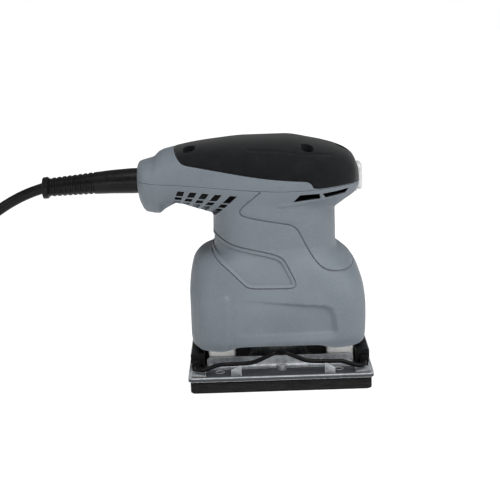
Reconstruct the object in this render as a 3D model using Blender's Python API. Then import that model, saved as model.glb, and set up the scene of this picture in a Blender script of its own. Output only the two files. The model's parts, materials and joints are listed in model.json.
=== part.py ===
"""A quarter-sheet orbital palm sander, in metres, +Z up.

The origin is the centre of the sanding pad's underside. +X points to the nose, where the switch
is, and -X to the rear handle and the mains lead. Lengths below are in millimetres, and MM turns
them into metres where a mesh is made.
"""

from math import cos, pi, radians, sin

import bpy
from mathutils import Matrix, Vector

MM = 0.001
GAP = 0.3  # clearance between pieces that touch

# The drive
ORBIT = 0.8  # radius of the pad's orbit
MOTOR_X = 0.8  # the motor's axis; the pad's own axis is at x = 0

# The pad and its plate
PAD_X, PAD_Y, PAD_Z = 103.6, 110.0, 7.0
PLATE_X, PLATE_Y = 105.8, 112.0
PLATE_LOW = PAD_Z + GAP
PLATE_TOP = 9.0
RIM_TOP = 9.6
RIB_Y, RIB_TOP, RIB_THICK = 35.0, 15.7, 1.6
HUB_RADIUS, HUB_TOP = 17.0, 29.0

# The housing
WALL = 2.6
GRIP_THICK = 1.8
SKIRT_BOTTOM = 22.0
NECK_TOP = 112.0
COLUMN_POINTS = 40
HEAD_POINTS = 28
HEAD_ROUND = 2.4
# height, rear x, front x, half width, squareness of the section
COLUMN = (
    (SKIRT_BOTTOM, -51.0, 53.2, 42.6, 5.0),
    (26.0, -51.5, 53.5, 43.2, 5.0),
    (41.0, -51.3, 53.8, 43.5, 4.6),
    (50.0, -51.3, 52.2, 42.8, 4.1),
    (58.0, -50.8, 49.7, 41.0, 3.7),
    (66.0, -49.0, 46.3, 38.7, 3.3),
    (71.0, -46.2, 43.2, 36.8, 3.1),
    (75.0, -39.5, 39.2, 35.2, 2.9),
    (79.0, -36.2, 36.8, 34.2, 2.8),
    (95.0, -35.6, 36.8, 34.0, 2.8),
    (NECK_TOP, -35.6, 36.8, 33.6, 2.8),
)
# place along x, top, underside, half width
HEAD = (
    (-80.0, 125.0, 106.0, 12.5),
    (-77.5, 127.0, 98.6, 17.5),
    (-70.0, 129.4, 94.9, 21.0),
    (-64.5, 133.4, 97.3, 22.4),
    (-58.0, 134.9, 100.8, 24.0),
    (-46.0, 137.4, 97.5, 26.5),
    (-34.0, 138.8, 94.6, 29.5),
    (-16.0, 139.9, 94.0, 33.0),
    (6.0, 139.7, 94.0, 34.8),
    (23.0, 137.2, 95.0, 34.0),
    (34.0, 134.3, 97.0, 31.0),
    (41.0, 131.2, 99.8, 26.5),
    (46.0, 127.5, 102.4, 21.3),
    (48.7, 122.6, 105.8, 15.3),
    (50.2, 118.0, 109.5, 8.0),
)
SEAM = ((-90.0, 115.6), (-54.0, 115.0), (-14.0, 111.4), (60.0, 111.0))
GRIP_EDGE = (
    (-61.5, 150.0), (-60.0, 134.0), (-55.5, 128.5), (-50.0, 126.2), (-22.0, 121.6),
    (5.0, 117.9), (18.5, 116.6), (22.5, 114.2), (25.0, 113.4), (49.3, 113.4), (49.8, 150.0),
)
# x, y, the height of the recess floor, and the shank's length, of each cover screw
COVER_SCREWS = (
    (-49.0, -12.5, 131.0, 15.0), (-49.0, 12.5, 131.0, 15.0),
    (19.0, -20.0, 129.5, 15.0), (19.0, 20.0, 129.5, 15.0), (40.5, 0.0, 127.0, 3.0),
)
SCREW_HEAD, SCREW_SHANK = 3.1, 1.6
RECESS_RADIUS, BOSS_RADIUS = 4.1, 5.8

# The paper clamps
CLAMP_X, CLAMP_Z = 48.5, 12.5  # the hinge line's distance from the centre, and its height
WIRE_RADIUS = 1.15
LEVER_Y = -46.6

# The mains lead
CORD_RADIUS = 3.2
CORD_Z = 115.0
BOOT_TIP = (-137.0, 0.0, 112.2)
COIL_X, COIL_LOW, COIL_TOP = -277.0, 1.5, 13.2
COIL_OUTER, COIL_INNER = 47.5, 21.0
# the lead from the boot down to the top of the coil
LEAD_ROUTE = (
    (-138.3, 0.0, 111.8), (-144.0, 0.0, 110.0), (-152.0, 0.0, 106.7), (-162.0, 0.2, 101.2),
    (-172.0, 0.6, 94.1), (-182.0, 1.4, 84.9), (-192.0, 3.4, 74.2), (-202.0, 7.7, 62.6),
    (-212.0, 13.3, 50.9), (-222.0, 19.0, 39.4), (-232.0, 24.8, 29.2), (-240.0, 29.4, 22.2),
    (-247.0, 33.5, 17.3),
)
# the end of the lead, from the coil's lowest outer turn to the plug
TAIL_ROUTE = (
    (-253.5, -45.3, 3.5), (-250.0, -45.6, 3.7), (-246.0, -45.8, 4.5), (-242.0, -46.0, 5.6),
)
PLUG_Y, PLUG_Z = -46.0, 7.5


def look(name, colour, roughness, metallic=0.0):
    """A Principled material."""
    material = bpy.data.materials.new(name)
    material.use_nodes = True
    shader = material.node_tree.nodes["Principled BSDF"]
    shader.inputs["Base Color"].default_value = (*colour, 1.0)
    shader.inputs["Roughness"].default_value = roughness
    shader.inputs["Metallic"].default_value = metallic
    return material


def add_object(name, data, material):
    thing = bpy.data.objects.new(name, data)
    bpy.context.scene.collection.objects.link(thing)
    if material:
        data.materials.append(material)
    else:
        thing.hide_render = True
        thing.display_type = "WIRE"
    return thing


def mesh_object(name, points, faces, material, origin=(0, 0, 0)):
    """A mesh from points in millimetres, with the object's own origin at another point."""
    home = Vector(origin) * MM
    mesh = bpy.data.meshes.new(name)
    mesh.from_pydata([Vector(point) * MM - home for point in points], [], faces)
    mesh.validate()
    thing = add_object(name, mesh, material)
    thing.location = home
    return thing


def loft(name, rings, material=None, origin=(0, 0, 0)):
    """A closed solid through rings with the same number of points, capped at both ends."""
    count = len(rings[0])
    points = [point for ring in rings for point in ring]
    faces = [
        (row * count + i, row * count + (i + 1) % count,
         (row + 1) * count + (i + 1) % count, (row + 1) * count + i)
        for row in range(len(rings) - 1)
        for i in range(count)
    ]
    last = (len(rings) - 1) * count
    faces.append(tuple(reversed(range(count))))
    faces.append(tuple(range(last, last + count)))
    return mesh_object(name, points, faces, material, origin)


def prism(name, outline, axis, low, high, material=None, origin=(0, 0, 0)):
    """An outline swept along X, Y or Z. It runs anticlockwise in the YZ, ZX or XY plane."""
    place = {
        "x": lambda u, v, w: (w, u, v),
        "y": lambda u, v, w: (v, w, u),
        "z": lambda u, v, w: (u, v, w),
    }[axis]
    rings = [[place(u, v, w) for u, v in outline] for w in (low, high)]
    return loft(name, rings, material, origin)


def side_prism(name, outline, low, high, material=None, origin=(0, 0, 0)):
    """A side view's outline, anticlockwise as (x, z), swept along Y."""
    return prism(name, [(z, x) for x, z in reversed(outline)], "y", low, high, material, origin)


def block(name, low, high, material=None, origin=(0, 0, 0)):
    outline = ((low[0], low[1]), (high[0], low[1]), (high[0], high[1]), (low[0], high[1]))
    return prism(name, outline, "z", low[2], high[2], material, origin)


def circle(centre, radius, points):
    return [
        (centre[0] + radius * cos(2 * pi * i / points), centre[1] + radius * sin(2 * pi * i / points))
        for i in range(points)
    ]


def rounded(half_x, half_y, radius, centre=(0.0, 0.0), steps=4):
    """A rectangle with round corners."""
    outline = []
    for corner, (side_x, side_y) in enumerate(((1, 1), (-1, 1), (-1, -1), (1, -1))):
        for step in range(steps + 1):
            angle = radians(90.0 * (corner + step / steps))
            outline.append((
                centre[0] + side_x * (half_x - radius) + radius * cos(angle),
                centre[1] + side_y * (half_y - radius) + radius * sin(angle),
            ))
    return outline


def turned(name, profile, centre=(0.0, 0.0), points=32, material=None, origin=(0, 0, 0)):
    """A solid turned about a vertical axis. The profile is (radius, height), from the bottom up."""
    rings = []
    for radius, height in profile:
        rings.append([(*place, height) for place in circle(centre, radius, points)])
    return loft(name, rings, material, origin)


def ring(name, outer, inner, low, high, centre, points=32, material=None, origin=(0, 0, 0)):
    """A flat ring, which is open through its middle."""
    rings = [
        [(*place, height) for place in circle(centre, radius, points)]
        for radius, height in ((outer, low), (outer, high), (inner, high), (inner, low))
    ]
    flat = [point for row in rings for point in row]
    faces = []
    for row in range(4):
        for i in range(points):
            a, b = row * points, (row + 1) % 4 * points
            faces.append((a + i, a + (i + 1) % points, b + (i + 1) % points, b + i))
    return mesh_object(name, flat, faces, material, origin)


def combine(thing, operation, other):
    """A Boolean that stays on the object. The other object only shapes it."""
    modifier = thing.modifiers.new(operation.lower() + " " + other.name, "BOOLEAN")
    modifier.operation = operation
    modifier.solver = "EXACT"
    modifier.object = other
    other.hide_render = True
    other.display_type = "WIRE"
    return thing


def cut(thing, *others):
    for other in others:
        combine(thing, "DIFFERENCE", other)
    return thing


def join(thing, *others):
    for other in others:
        combine(thing, "UNION", other)
    return thing


def common(thing, other):
    return combine(thing, "INTERSECT", other)


def smooth_path(route, step):
    """Evenly spaced points on a Catmull-Rom curve through the route."""
    route = [Vector(point) for point in route]
    ends = [2 * route[0] - route[1], *route, 2 * route[-1] - route[-2]]
    fine = []
    for a, b, c, d in zip(ends, ends[1:], ends[2:], ends[3:]):
        for i in range(20):
            t = i / 20
            fine.append(0.5 * (
                2 * b + (c - a) * t + (2 * a - 5 * b + 4 * c - d) * t * t
                + (3 * b - a - 3 * c + d) * t ** 3
            ))
    fine.append(route[-1])
    places, walked = [fine[0]], 0.0
    for before, after in zip(fine, fine[1:]):
        walked += (after - before).length
        if walked >= step:
            places.append(after)
            walked = 0.0
    if (places[-1] - fine[-1]).length < 0.5 * step:
        places.pop()
    return [*places, fine[-1]]


def tube(name, route, radius, step, material, sides=2):
    """A round wire or cord along a smooth route."""
    curve = bpy.data.curves.new(name, "CURVE")
    curve.dimensions = "3D"
    curve.bevel_depth = radius * MM
    curve.bevel_resolution = sides
    curve.use_fill_caps = True
    spline = curve.splines.new("POLY")
    places = smooth_path(route, step)
    spline.points.add(len(places) - 1)
    for point, place in zip(spline.points, places):
        point.co = (*(place * MM), 1.0)
    return add_object(name, curve, material)


def superellipse(power, points):
    """Points round a unit superellipse, as (across, up)."""
    for i in range(points):
        angle = 2 * pi * (i + 0.5) / points
        across, up = cos(angle), sin(angle)
        yield (
            (1 if across > 0 else -1) * abs(across) ** (2 / power),
            (1 if up > 0 else -1) * abs(up) ** (2 / power),
        )


def row_at(table, place):
    """The table's row at a place between two of its rows."""
    for first, second in zip(table, table[1:]):
        if place <= second[0]:
            share = (place - first[0]) / (second[0] - first[0])
            return tuple(a + (b - a) * share for a, b in zip(first, second))
    return table[-1]


def column(name, inset=0.0, low=SKIRT_BOTTOM, material=None):
    """The skirt and neck, as one upright solid."""
    rings = []
    for height, rear, front, half, power in COLUMN:
        if height == SKIRT_BOTTOM:
            height = low
        middle, reach = (rear + front) / 2, (front - rear) / 2 - inset
        rings.append([
            (middle + u * reach, v * (half - inset), height)
            for u, v in superellipse(power, COLUMN_POINTS)
        ])
    return loft(name, rings, material)


def head(name, inset=0.0, material=None):
    """The palm grip and rear handle, as one solid that lies along X."""
    rear, front = HEAD[0][0] + inset, HEAD[-1][0] - inset
    rows = [row for row in HEAD if rear < row[0] < front]
    rings = []
    for place, top, underside, half in [row_at(HEAD, rear), *rows, row_at(HEAD, front)]:
        seam = row_at(SEAM, place)[1]
        rings.append([
            (place, u * (half - inset),
             seam + v * ((top - seam if v > 0 else seam - underside) - inset))
            for u, v in superellipse(HEAD_ROUND, HEAD_POINTS)
        ])
    return loft(name, rings, material)


def below_seam(name, lift):
    outline = [(-90.0, 0.0), (60.0, 0.0), *[(x, z + lift) for x, z in reversed(SEAM)]]
    return side_prism(name, outline, -60.0, 60.0)


def above_seam(name, lift):
    outline = [*[(x, z + lift) for x, z in SEAM], (60.0, 160.0), (-90.0, 160.0)]
    return side_prism(name, outline, -60.0, 60.0)


def grip_region(name, grow):
    """The side view of the soft grip, swept across the housing."""
    outline = [(x, z - grow) for x, z in GRIP_EDGE]
    outline[0] = (GRIP_EDGE[0][0] - grow, 150.0)
    outline[1] = (GRIP_EDGE[1][0] - grow, GRIP_EDGE[1][1] - grow)
    outline[-2] = (GRIP_EDGE[-2][0] + grow, GRIP_EDGE[-2][1] - grow)
    outline[-1] = (GRIP_EDGE[-1][0] + grow, 150.0)
    return side_prism(name, outline, -60.0, 60.0)


def vent_cutters():
    """Slanted slots in both flanks: five under the rear handle and two under the nose."""
    cutters = []
    for i in range(5):
        x = -56.5 + 7.0 * i
        top = 112.2 - 0.45 * i
        outline = ((x - 2.4, top - 8.5), (x + 1.2, top - 8.5), (x + 4.2, top), (x + 0.6, top))
        cutters.append(side_prism(f"rear vent cutter {i}", outline, -40.0, 40.0))
    for i, (low, high) in enumerate(((10.5, 25.0), (28.5, 40.5))):
        rise = 0.05
        outline = (
            (low - 1.5, 105.0 + rise * low), (high, 106.0 + rise * high),
            (high + 1.5, 109.2 + rise * high), (low + 2.0, 108.2 + rise * low),
        )
        cutters.append(side_prism(f"front vent cutter {i}", outline, -40.0, 40.0))
    return cutters


def main_housing(material):
    """Skirt, neck and the underside of the handle, open at the bottom and at the seam."""
    shell = column("main_housing", material=material)
    join(shell, head("housing head"))
    common(shell, below_seam("housing below seam", 0.0))
    cut(shell, column("housing column room", WALL, SKIRT_BOTTOM - 5.0))
    cut(shell, head("housing head room", WALL))
    cut(shell, prism("lead hole", circle((0.0, CORD_Z), 7.9, 24), "x", -90.0, -70.0))
    cut(shell, block("switch hole", (40.0, -8.2, 104.8), (60.0, 8.2, 124.4)))
    return cut(shell, *vent_cutters())


def top_cover(material):
    """The upper shell, with a seat for the soft grip and a boss under each screw."""
    shell = head("top_cover", material=material)
    cut(shell, grip_region("grip seat", GAP))
    join(shell, head("cover under grip", GRIP_THICK + GAP))
    cut(shell, head("cover room", WALL + GRIP_THICK))
    for i, (x, y, floor, length) in enumerate(COVER_SCREWS):
        boss = ((BOSS_RADIUS, floor - length + 1.0), (BOSS_RADIUS, floor + 2.6))
        join(shell, turned(f"cover boss {i}", boss, (x, y), 16))
        cut(shell, turned(
            f"cover recess {i}", ((RECESS_RADIUS, floor), (RECESS_RADIUS, 150.0)), (x, y), 20))
        cut(shell, turned(
            f"cover screw hole {i}", ((SCREW_SHANK + GAP, 100.0), (SCREW_SHANK + GAP, 140.0)),
            (x, y), 12))
    common(shell, above_seam("cover above seam", GAP))
    cut(shell, prism("cover lead hole", circle((0.0, CORD_Z), 7.9, 24), "x", -90.0, -70.0))
    return cut(shell, block("cover switch hole", (40.0, -8.2, 104.8), (60.0, 8.2, 124.4)))


def soft_grip(material):
    """The moulded rubber skin over the top of the cover."""
    skin = head("soft_grip", material=material)
    common(skin, grip_region("grip outline", 0.0))
    common(skin, above_seam("grip above seam", GAP))
    cut(skin, head("grip underside", GRIP_THICK))
    cut(skin, block("grip switch hole", (40.0, -8.2, 104.8), (60.0, 8.2, 124.4)))
    for i, (x, y, floor, _) in enumerate(COVER_SCREWS):
        opening = ((RECESS_RADIUS + 1.9, floor - 3.0), (RECESS_RADIUS + 1.9, 150.0))
        cut(skin, turned(f"grip recess {i}", opening, (x, y), 20))
    return skin


def cover_screws(material):
    for i, (x, y, floor, length) in enumerate(COVER_SCREWS, 1):
        low = floor + GAP
        turned(f"cover_screw_{i}", (
            (SCREW_SHANK, low - length), (SCREW_SHANK, low),
            (SCREW_HEAD, low), (SCREW_HEAD, low + 2.2),
        ), (x, y), 16, material)


def motor_shaft(material):
    """The shaft, its end flange and the off-centre pin that drives the pad."""
    axis = (MOTOR_X, 0.0)
    shaft = turned("armature_shaft", (
        (8.0, 34.5), (8.0, 38.0), (3.5, 38.0), (3.5, 121.0)), axis, 24, material,
        (MOTOR_X, 0, 0))
    pin = turned("eccentric pin", ((4.7, 15.0), (4.7, 35.5)), (MOTOR_X - ORBIT, 0.0), 24)
    return join(shaft, pin)


def armature(steel, copper, brass):
    axis, home = (MOTOR_X, 0.0), (MOTOR_X, 0, 0)
    slots = 12
    outline = []
    for i in range(slots):
        for part, radius in ((0.0, 15.0), (0.35, 15.0), (0.7, 15.0), (0.72, 11.0), (0.98, 11.0)):
            angle = 2 * pi * (i + part) / slots
            outline.append((MOTOR_X + radius * cos(angle), radius * sin(angle)))
    core = prism("armature_core", outline, "z", 68.0, 90.0, steel, home)
    bore = turned("armature bore", ((3.8, 60.0), (3.8, 95.0)), axis, 24)
    cut(core, bore)
    for name, low, high in (("armature_winding_lower", 63.5, 67.7),
                            ("armature_winding_upper", 90.3, 97.0)):
        ring(name, 13.0, 4.2, low, high, axis, 24, copper, home)
    ring("commutator", 9.5, 3.8, 99.0, 110.0, axis, 24, brass, home)


def cooling_fan(material):
    """A disc with radial blades under it."""
    axis, home = (MOTOR_X, 0.0), (MOTOR_X, 0, 0)
    fan = ring("cooling_fan", 31.0, 3.8, 47.0, 49.0, axis, 36, material, home)
    blades = 10
    for i in range(blades):
        blade = block(f"fan blade {i}", (11.0, -0.8, 40.0), (30.0, 0.8, 47.6))
        turn = Matrix.Rotation(2 * pi * i / blades, 4, "Z")
        blade.matrix_world = Matrix.Translation((MOTOR_X * MM, 0, 0)) @ turn
        join(fan, blade)
    return fan


def counterweight(material):
    """A heavy half disc opposite the off-centre pin."""
    outer, inner, steps = 24.0, 8.4, 16
    arc = [radians(-90 + 180 * i / steps) for i in range(steps + 1)]
    outline = [(MOTOR_X + outer * cos(a), outer * sin(a)) for a in arc]
    outline += [(MOTOR_X + inner * cos(a), inner * sin(a)) for a in reversed(arc)]
    return prism("counterweight", outline, "z", 34.6, 39.3, material, (MOTOR_X, 0, 0))


def stator(steel, copper):
    """Laminations round the armature, with a coil on each pole."""
    low, high = 67.0, 91.0
    core = prism("stator_core", rounded(27.0, 24.0, 10.0, (MOTOR_X, 0.0)), "z", low, high, steel)
    cut(core, turned("stator bore", ((16.2, 60.0), (16.2, 95.0)), (MOTOR_X, 0.0), 32))
    for side in (-1, 1):
        for flank in (-1, 1):
            xs = sorted((MOTOR_X + side * 12.0, MOTOR_X + side * 21.4))
            ys = sorted((flank * 7.6, flank * 13.2))
            cut(core, block(f"window {side} {flank}", (xs[0], ys[0], 60.0), (xs[1], ys[1], 95.0)))
        xs = sorted((MOTOR_X + side * 16.8, MOTOR_X + side * 21.0))
        name = "field_coil_front" if side > 0 else "field_coil_rear"
        middle = (low + high) / 2
        coil = prism(name, rounded(12.6, 16.6, 4.0, (0.0, middle)), "x", xs[0], xs[1], copper)
        hole = rounded(8.2, 12.3, 1.0, (0.0, middle), 2)
        cut(coil, prism(name + " hole", hole, "x", xs[0] - 2, xs[1] + 2))


def bearings(steel, alloy, plastic):
    axis = (MOTOR_X, 0.0)
    ring("upper_bearing", 9.5, 3.8, 112.4, 118.4, axis, 24, steel)
    ring("lower_bearing", 11.0, 3.8, 55.0, 62.0, axis, 24, steel)
    holder = block("upper_bearing_holder", (-11.0, -27.0, 113.0), (12.6, 27.0, 119.5), plastic)
    cut(holder, turned("holder bore", ((9.8, 100.0), (9.8, 130.0)), axis, 24))
    bridge = prism("bearing_bridge", rounded(36.0, 33.0, 14.0, axis), "z", 52.5, 55.2, alloy)
    join(bridge, turned("bridge cup", ((14.0, 53.0), (14.0, 61.0)), axis, 24))
    cut(bridge, turned("bridge seat", ((11.3, 54.7), (11.3, 70.0)), axis, 24))
    cut(bridge, turned("bridge bore", ((8.5, 50.0), (8.5, 70.0)), axis, 24))


def brushes(brass, carbon):
    for side, name in ((-1, "left"), (1, "right")):
        near, far = side * 9.8, side * 24.0
        ys = sorted((near + side * 1.2, far))
        holder = block(f"brush_holder_{name}", (MOTOR_X - 5.0, ys[0], 100.0),
                       (MOTOR_X + 5.0, ys[1], 109.0), brass)
        ys = sorted((near, far + side * 4.0))
        cut(holder, block(f"brush slot {name}", (MOTOR_X - 3.3, ys[0], 101.2),
                          (MOTOR_X + 3.3, ys[1], 107.8)))
        ys = sorted((near, side * 21.0))
        block(f"carbon_brush_{name}", (MOTOR_X - 3.0, ys[0], 101.5),
              (MOTOR_X + 3.0, ys[1], 107.5), carbon)


def switch(black, clear):
    """The rocker switch in the nose, under a flexible dust boot."""
    block("switch_body", (30.0, -7.6, 105.6), (44.4, 7.6, 123.6), black)
    pivot = (45.6, 114.6)
    outline = (
        (44.9, 114.6), (46.9, 107.3), (48.4, 107.3), (49.7, 108.8), (48.5, 114.6),
        (47.4, 122.0), (44.9, 122.0),
    )
    rocker = side_prism("switch_rocker", outline, -4.6, 4.6, black, (pivot[0], 0, pivot[1]))
    dome = prism("switch_boot", rounded(7.8, 9.2, 2.5, (0.0, 114.6)), "x", 46.6, 51.9, clear)
    room = prism("boot room", rounded(6.6, 8.2, 1.6, (0.0, 114.6)), "x", 40.0, 50.7)
    cut(dome, room)
    return rocker


def base_plate(material):
    """The pressed plate: a rim, two long ribs and the hub that holds the eccentric bearing."""
    plate = prism("base_plate", rounded(PLATE_X / 2, PLATE_Y / 2, 3.0, (0, 0), 3), "z",
                  PLATE_LOW, PLATE_TOP, material)
    rim = prism("plate rim", rounded(PLATE_X / 2, PLATE_Y / 2, 3.0, (0, 0), 3), "z",
                PLATE_LOW, RIM_TOP)
    cut(rim, prism("rim room", rounded(PLATE_X / 2 - 1.3, PLATE_Y / 2 - 1.3, 2.0, (0, 0), 3),
                   "z", 0.0, 20.0))
    join(plate, rim)
    for side in (-1, 1):
        ys = sorted((side * RIB_Y, side * (RIB_Y + RIB_THICK)))
        join(plate, block(f"rib {side}", (-42.4, ys[0], 8.0), (42.4, ys[1], RIB_TOP)))
    join(plate, turned("hub", ((HUB_RADIUS, 8.0), (HUB_RADIUS, HUB_TOP)), (0, 0), 32))
    return cut(plate, turned("hub bore", ((13.3, 14.0), (13.3, 40.0)), (0, 0), 32))


def rubber_legs(material):
    """Four flexible posts between the housing and the plate."""
    for x, end in ((-33.7, "rear"), (35.3, "front")):
        for y, side in ((-26.0, "left"), (26.0, "right")):
            rings = [
                [(*place, height) for place in rounded(half, half, 2.5, (x, y), 2)]
                for height, half in (
                    (PLATE_TOP + GAP, 7.8), (18.6, 7.8), (20.2, 6.4), (24.0, 6.4), (25.6, 7.6),
                    (30.2, 7.6))
            ]
            loft(f"{end}_{side}_leg", rings, material)


def fan_baffle(material):
    """The plate that closes the fan's chamber and seats the legs."""
    height, rear, front, half, power = COLUMN[1]
    reach, middle = (front - rear) / 2 - WALL - 0.6, (front + rear) / 2
    outline = [
        (middle + u * reach, v * (half - WALL - 0.6)) for u, v in superellipse(power, 32)
    ]
    baffle = prism("fan_baffle", outline, "z", 30.6, 32.8, material)
    return cut(baffle, turned("baffle hole", ((19.5, 20.0), (19.5, 40.0)), (0, 0), 24))


def clamp(end, name, steel, black):
    """One paper clamp. end is -1 at the rear and 1 at the front: bracket, jaw and wire lever."""
    home = (end * CLAMP_X, 0.0, CLAMP_Z)

    def outline(points):
        """A side view, mirrored for the front."""
        found = [(end * x, z) for x, z in points]
        return found if end > 0 else list(reversed(found))

    bracket = side_prism(f"{name}_clamp_bracket", outline((
        (44.6, PLATE_TOP + GAP), (50.6, PLATE_TOP + GAP), (50.6, 10.6), (44.6, 10.6))),
        -41.6, 41.6, steel)
    for side in (-1, 1):
        ys = sorted((side * 39.5, side * 41.1))
        ear = side_prism(f"{name} ear {side}", outline((
            (46.0, 10.0), (50.6, 10.0), (51.4, 12.5), (50.4, 15.6), (46.8, 15.6))),
            ys[0], ys[1])
        hole = prism(f"{name} ear hole {side}", circle((CLAMP_Z, end * CLAMP_X),
                     WIRE_RADIUS + GAP, 12), "y", ys[0] - 1, ys[1] + 1)
        join(bracket, ear)
        cut(bracket, hole)
    jaw = side_prism(f"{name}_clamp_jaw", outline((
        (43.7, 10.4), (45.1, 11.4), (45.1, 17.3), (50.4, 17.3), (50.4, 15.6), (51.8, 15.6),
        (51.8, 18.7), (43.7, 18.7))), -38.6, 38.6, black, home)
    wire = [
        (end * CLAMP_X, 41.4, CLAMP_Z), (end * CLAMP_X, 0.0, CLAMP_Z),
        (end * CLAMP_X, -42.0, CLAMP_Z), (end * 48.1, -45.2, 12.2), (end * 46.4, -47.4, 11.8),
        (end * 43.8, -47.8, 11.9), (end * 40.2, -47.2, 12.9), (end * 36.5, LEVER_Y, 14.0),
        (end * 26.0, LEVER_Y, 14.6), (end * 17.0, LEVER_Y, 15.0), (end * 13.6, LEVER_Y, 15.9),
        (end * 8.0, LEVER_Y, 18.4), (end * 3.2, LEVER_Y, 20.4),
    ]
    return bracket, jaw, tube(f"{name}_clamp_lever", wire, WIRE_RADIUS, 3.0, black)


def supply(black, brass, copper):
    """The lead's boot, clamp, inner end and wires."""
    sections = (
        (-70.0, CORD_Z, 8.3), (-73.6, CORD_Z, 8.3), (-73.7, CORD_Z, 7.4), (-84.0, CORD_Z, 7.5),
        (-96.0, 114.8, 7.0), (-112.0, 114.0, 6.2), (-128.0, 112.9, 5.5), (-133.5, 112.5, 5.4),
        (-133.6, 112.5, 6.4), (-136.4, 112.3, 6.4), (BOOT_TIP[0], BOOT_TIP[2], 5.6),
    )
    rings = [
        [(x, y, z) for y, z in circle((0.0, height), radius, 20)]
        for x, height, radius in reversed(sections)
    ]
    loft("cord_boot", rings, black)
    tube("cord_inner_end", ((-69.0, 0, CORD_Z), (-62.0, 0, CORD_Z), (-54.0, 0, CORD_Z)),
         CORD_RADIUS, 4.0, black)
    bar = block("cord_clamp", (-64.5, -11.0, CORD_Z + CORD_RADIUS + GAP),
                (-59.0, 11.0, CORD_Z + CORD_RADIUS + 3.2), black)
    for side, name in ((-1, "left"), (1, "right")):
        place = (-61.75, side * 7.6)
        cut(bar, turned(f"clamp hole {side}", ((1.7, 110.0), (1.7, 130.0)), place, 12))
        turned(f"cord_clamp_screw_{name}", (
            (1.4, 110.0), (1.4, CORD_Z + CORD_RADIUS + 3.5),
            (2.7, CORD_Z + CORD_RADIUS + 3.5), (2.7, CORD_Z + CORD_RADIUS + 5.3)),
            place, 12, brass)
        tube(f"lead_{name}", (
            (-53.6, side * 1.6, CORD_Z), (-44.0, side * 2.4, 119.0), (-26.0, side * 3.4, 124.4),
            (-4.0, side * 4.0, 126.0), (16.0, side * 4.0, 123.0), (25.0, side * 4.0, 119.4),
            (29.6, side * 4.0, 117.6)), 1.1, 5.0, copper)


def free_lead(black, brass):
    """The lead outside the housing, its coil, tie and plug."""
    tube("cord_run", LEAD_ROUTE, CORD_RADIUS, 7.0, black, 3)
    ring("cord_coil", COIL_OUTER, COIL_INNER, COIL_LOW, COIL_TOP, (COIL_X, 0.0), 32, black)
    middle = ((COIL_OUTER + COIL_INNER) / -2, (COIL_LOW + COIL_TOP) / 2)
    half_y, half_z = (COIL_OUTER - COIL_INNER) / 2 + 0.8, (COIL_TOP - COIL_LOW) / 2 + GAP
    tie = prism("coil_tie", rounded(half_y + 1.1, half_z + 1.1, 3.0, middle), "x",
                COIL_X - 4.0, COIL_X + 4.0, black)
    cut(tie, prism("tie room", rounded(half_y, half_z, 0.5, middle), "x",
                   COIL_X - 8.0, COIL_X + 8.0))
    tube("cord_tail", TAIL_ROUTE, CORD_RADIUS, 4.0, black, 3)
    sections = (
        (-241.0, 5.9, 4.3, 4.3), (-232.0, 6.9, 5.0, 5.0), (-226.0, 7.3, 5.4, 5.4),
        (-224.0, PLUG_Z, 9.5, 6.6), (-217.0, PLUG_Z, 12.6, 7.2), (-206.0, PLUG_Z, 13.2, 7.3),
        (-203.0, PLUG_Z, 12.6, 6.8),
    )
    rings = []
    for x, height, half_width, half_height in sections:
        rings.append([
            (x, PLUG_Y + u * half_width, height + v * half_height)
            for u, v in superellipse(2.6, 20)
        ])
    loft("plug_body", rings, black)
    for side, name in ((-1, "left"), (1, "right")):
        pin = circle((PLUG_Y + side * 9.5, PLUG_Z), 2.3, 12)
        prism(f"plug_pin_{name}", pin, "x", -202.7, -184.0, brass)


def main():
    for thing in list(bpy.data.objects):
        bpy.data.objects.remove(thing)
    grey = look("grey housing plastic", (0.24, 0.28, 0.32), 0.5)
    rubber = look("black grip rubber", (0.02, 0.02, 0.022), 0.6)
    black = look("black plastic", (0.02, 0.02, 0.02), 0.4)
    clear = look("clear silicone", (0.7, 0.72, 0.74), 0.25)
    white = look("white nylon", (0.8, 0.8, 0.8), 0.45)
    foam = look("black foam", (0.015, 0.015, 0.015), 0.9)
    zinc = look("bare metal plate", (0.6, 0.6, 0.58), 0.35, 1.0)
    steel = look("steel", (0.5, 0.5, 0.5), 0.3, 1.0)
    copper = look("copper wire", (0.6, 0.25, 0.1), 0.4, 1.0)
    brass = look("brass", (0.7, 0.5, 0.2), 0.3, 1.0)
    carbon = look("carbon", (0.03, 0.03, 0.03), 0.7)

    main_housing(grey)
    top_cover(grey)
    soft_grip(rubber)
    cover_screws(steel)
    motor_shaft(steel)
    armature(steel, copper, brass)
    cooling_fan(white)
    counterweight(steel)
    stator(steel, copper)
    bearings(steel, zinc, black)
    brushes(brass, carbon)
    switch(black, clear)
    base_plate(zinc)
    block("sanding_pad", (-PAD_X / 2, -PAD_Y / 2, 0.0), (PAD_X / 2, PAD_Y / 2, PAD_Z), foam)
    ring("eccentric_bearing", 13.0, 5.0, 16.0, 28.0, (0.0, 0.0), 24, steel)
    rubber_legs(white)
    fan_baffle(black)
    clamp(-1, "rear", steel, black)
    clamp(1, "front", steel, black)
    supply(black, brass, copper)
    free_lead(black, brass)


main()
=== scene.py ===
"""The looks of an orbital palm sander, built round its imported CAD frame.

Lengths are in millimetres until a mesh is made, and MM turns them into metres. The frame's origin
is the centre of the pad's underside: +X is the nose, -X the rear handle, +Z up.
"""

import json
from math import cos, pi, radians, sin

import bmesh
import bpy
import numpy as np
from mathutils import Matrix, Vector

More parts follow.
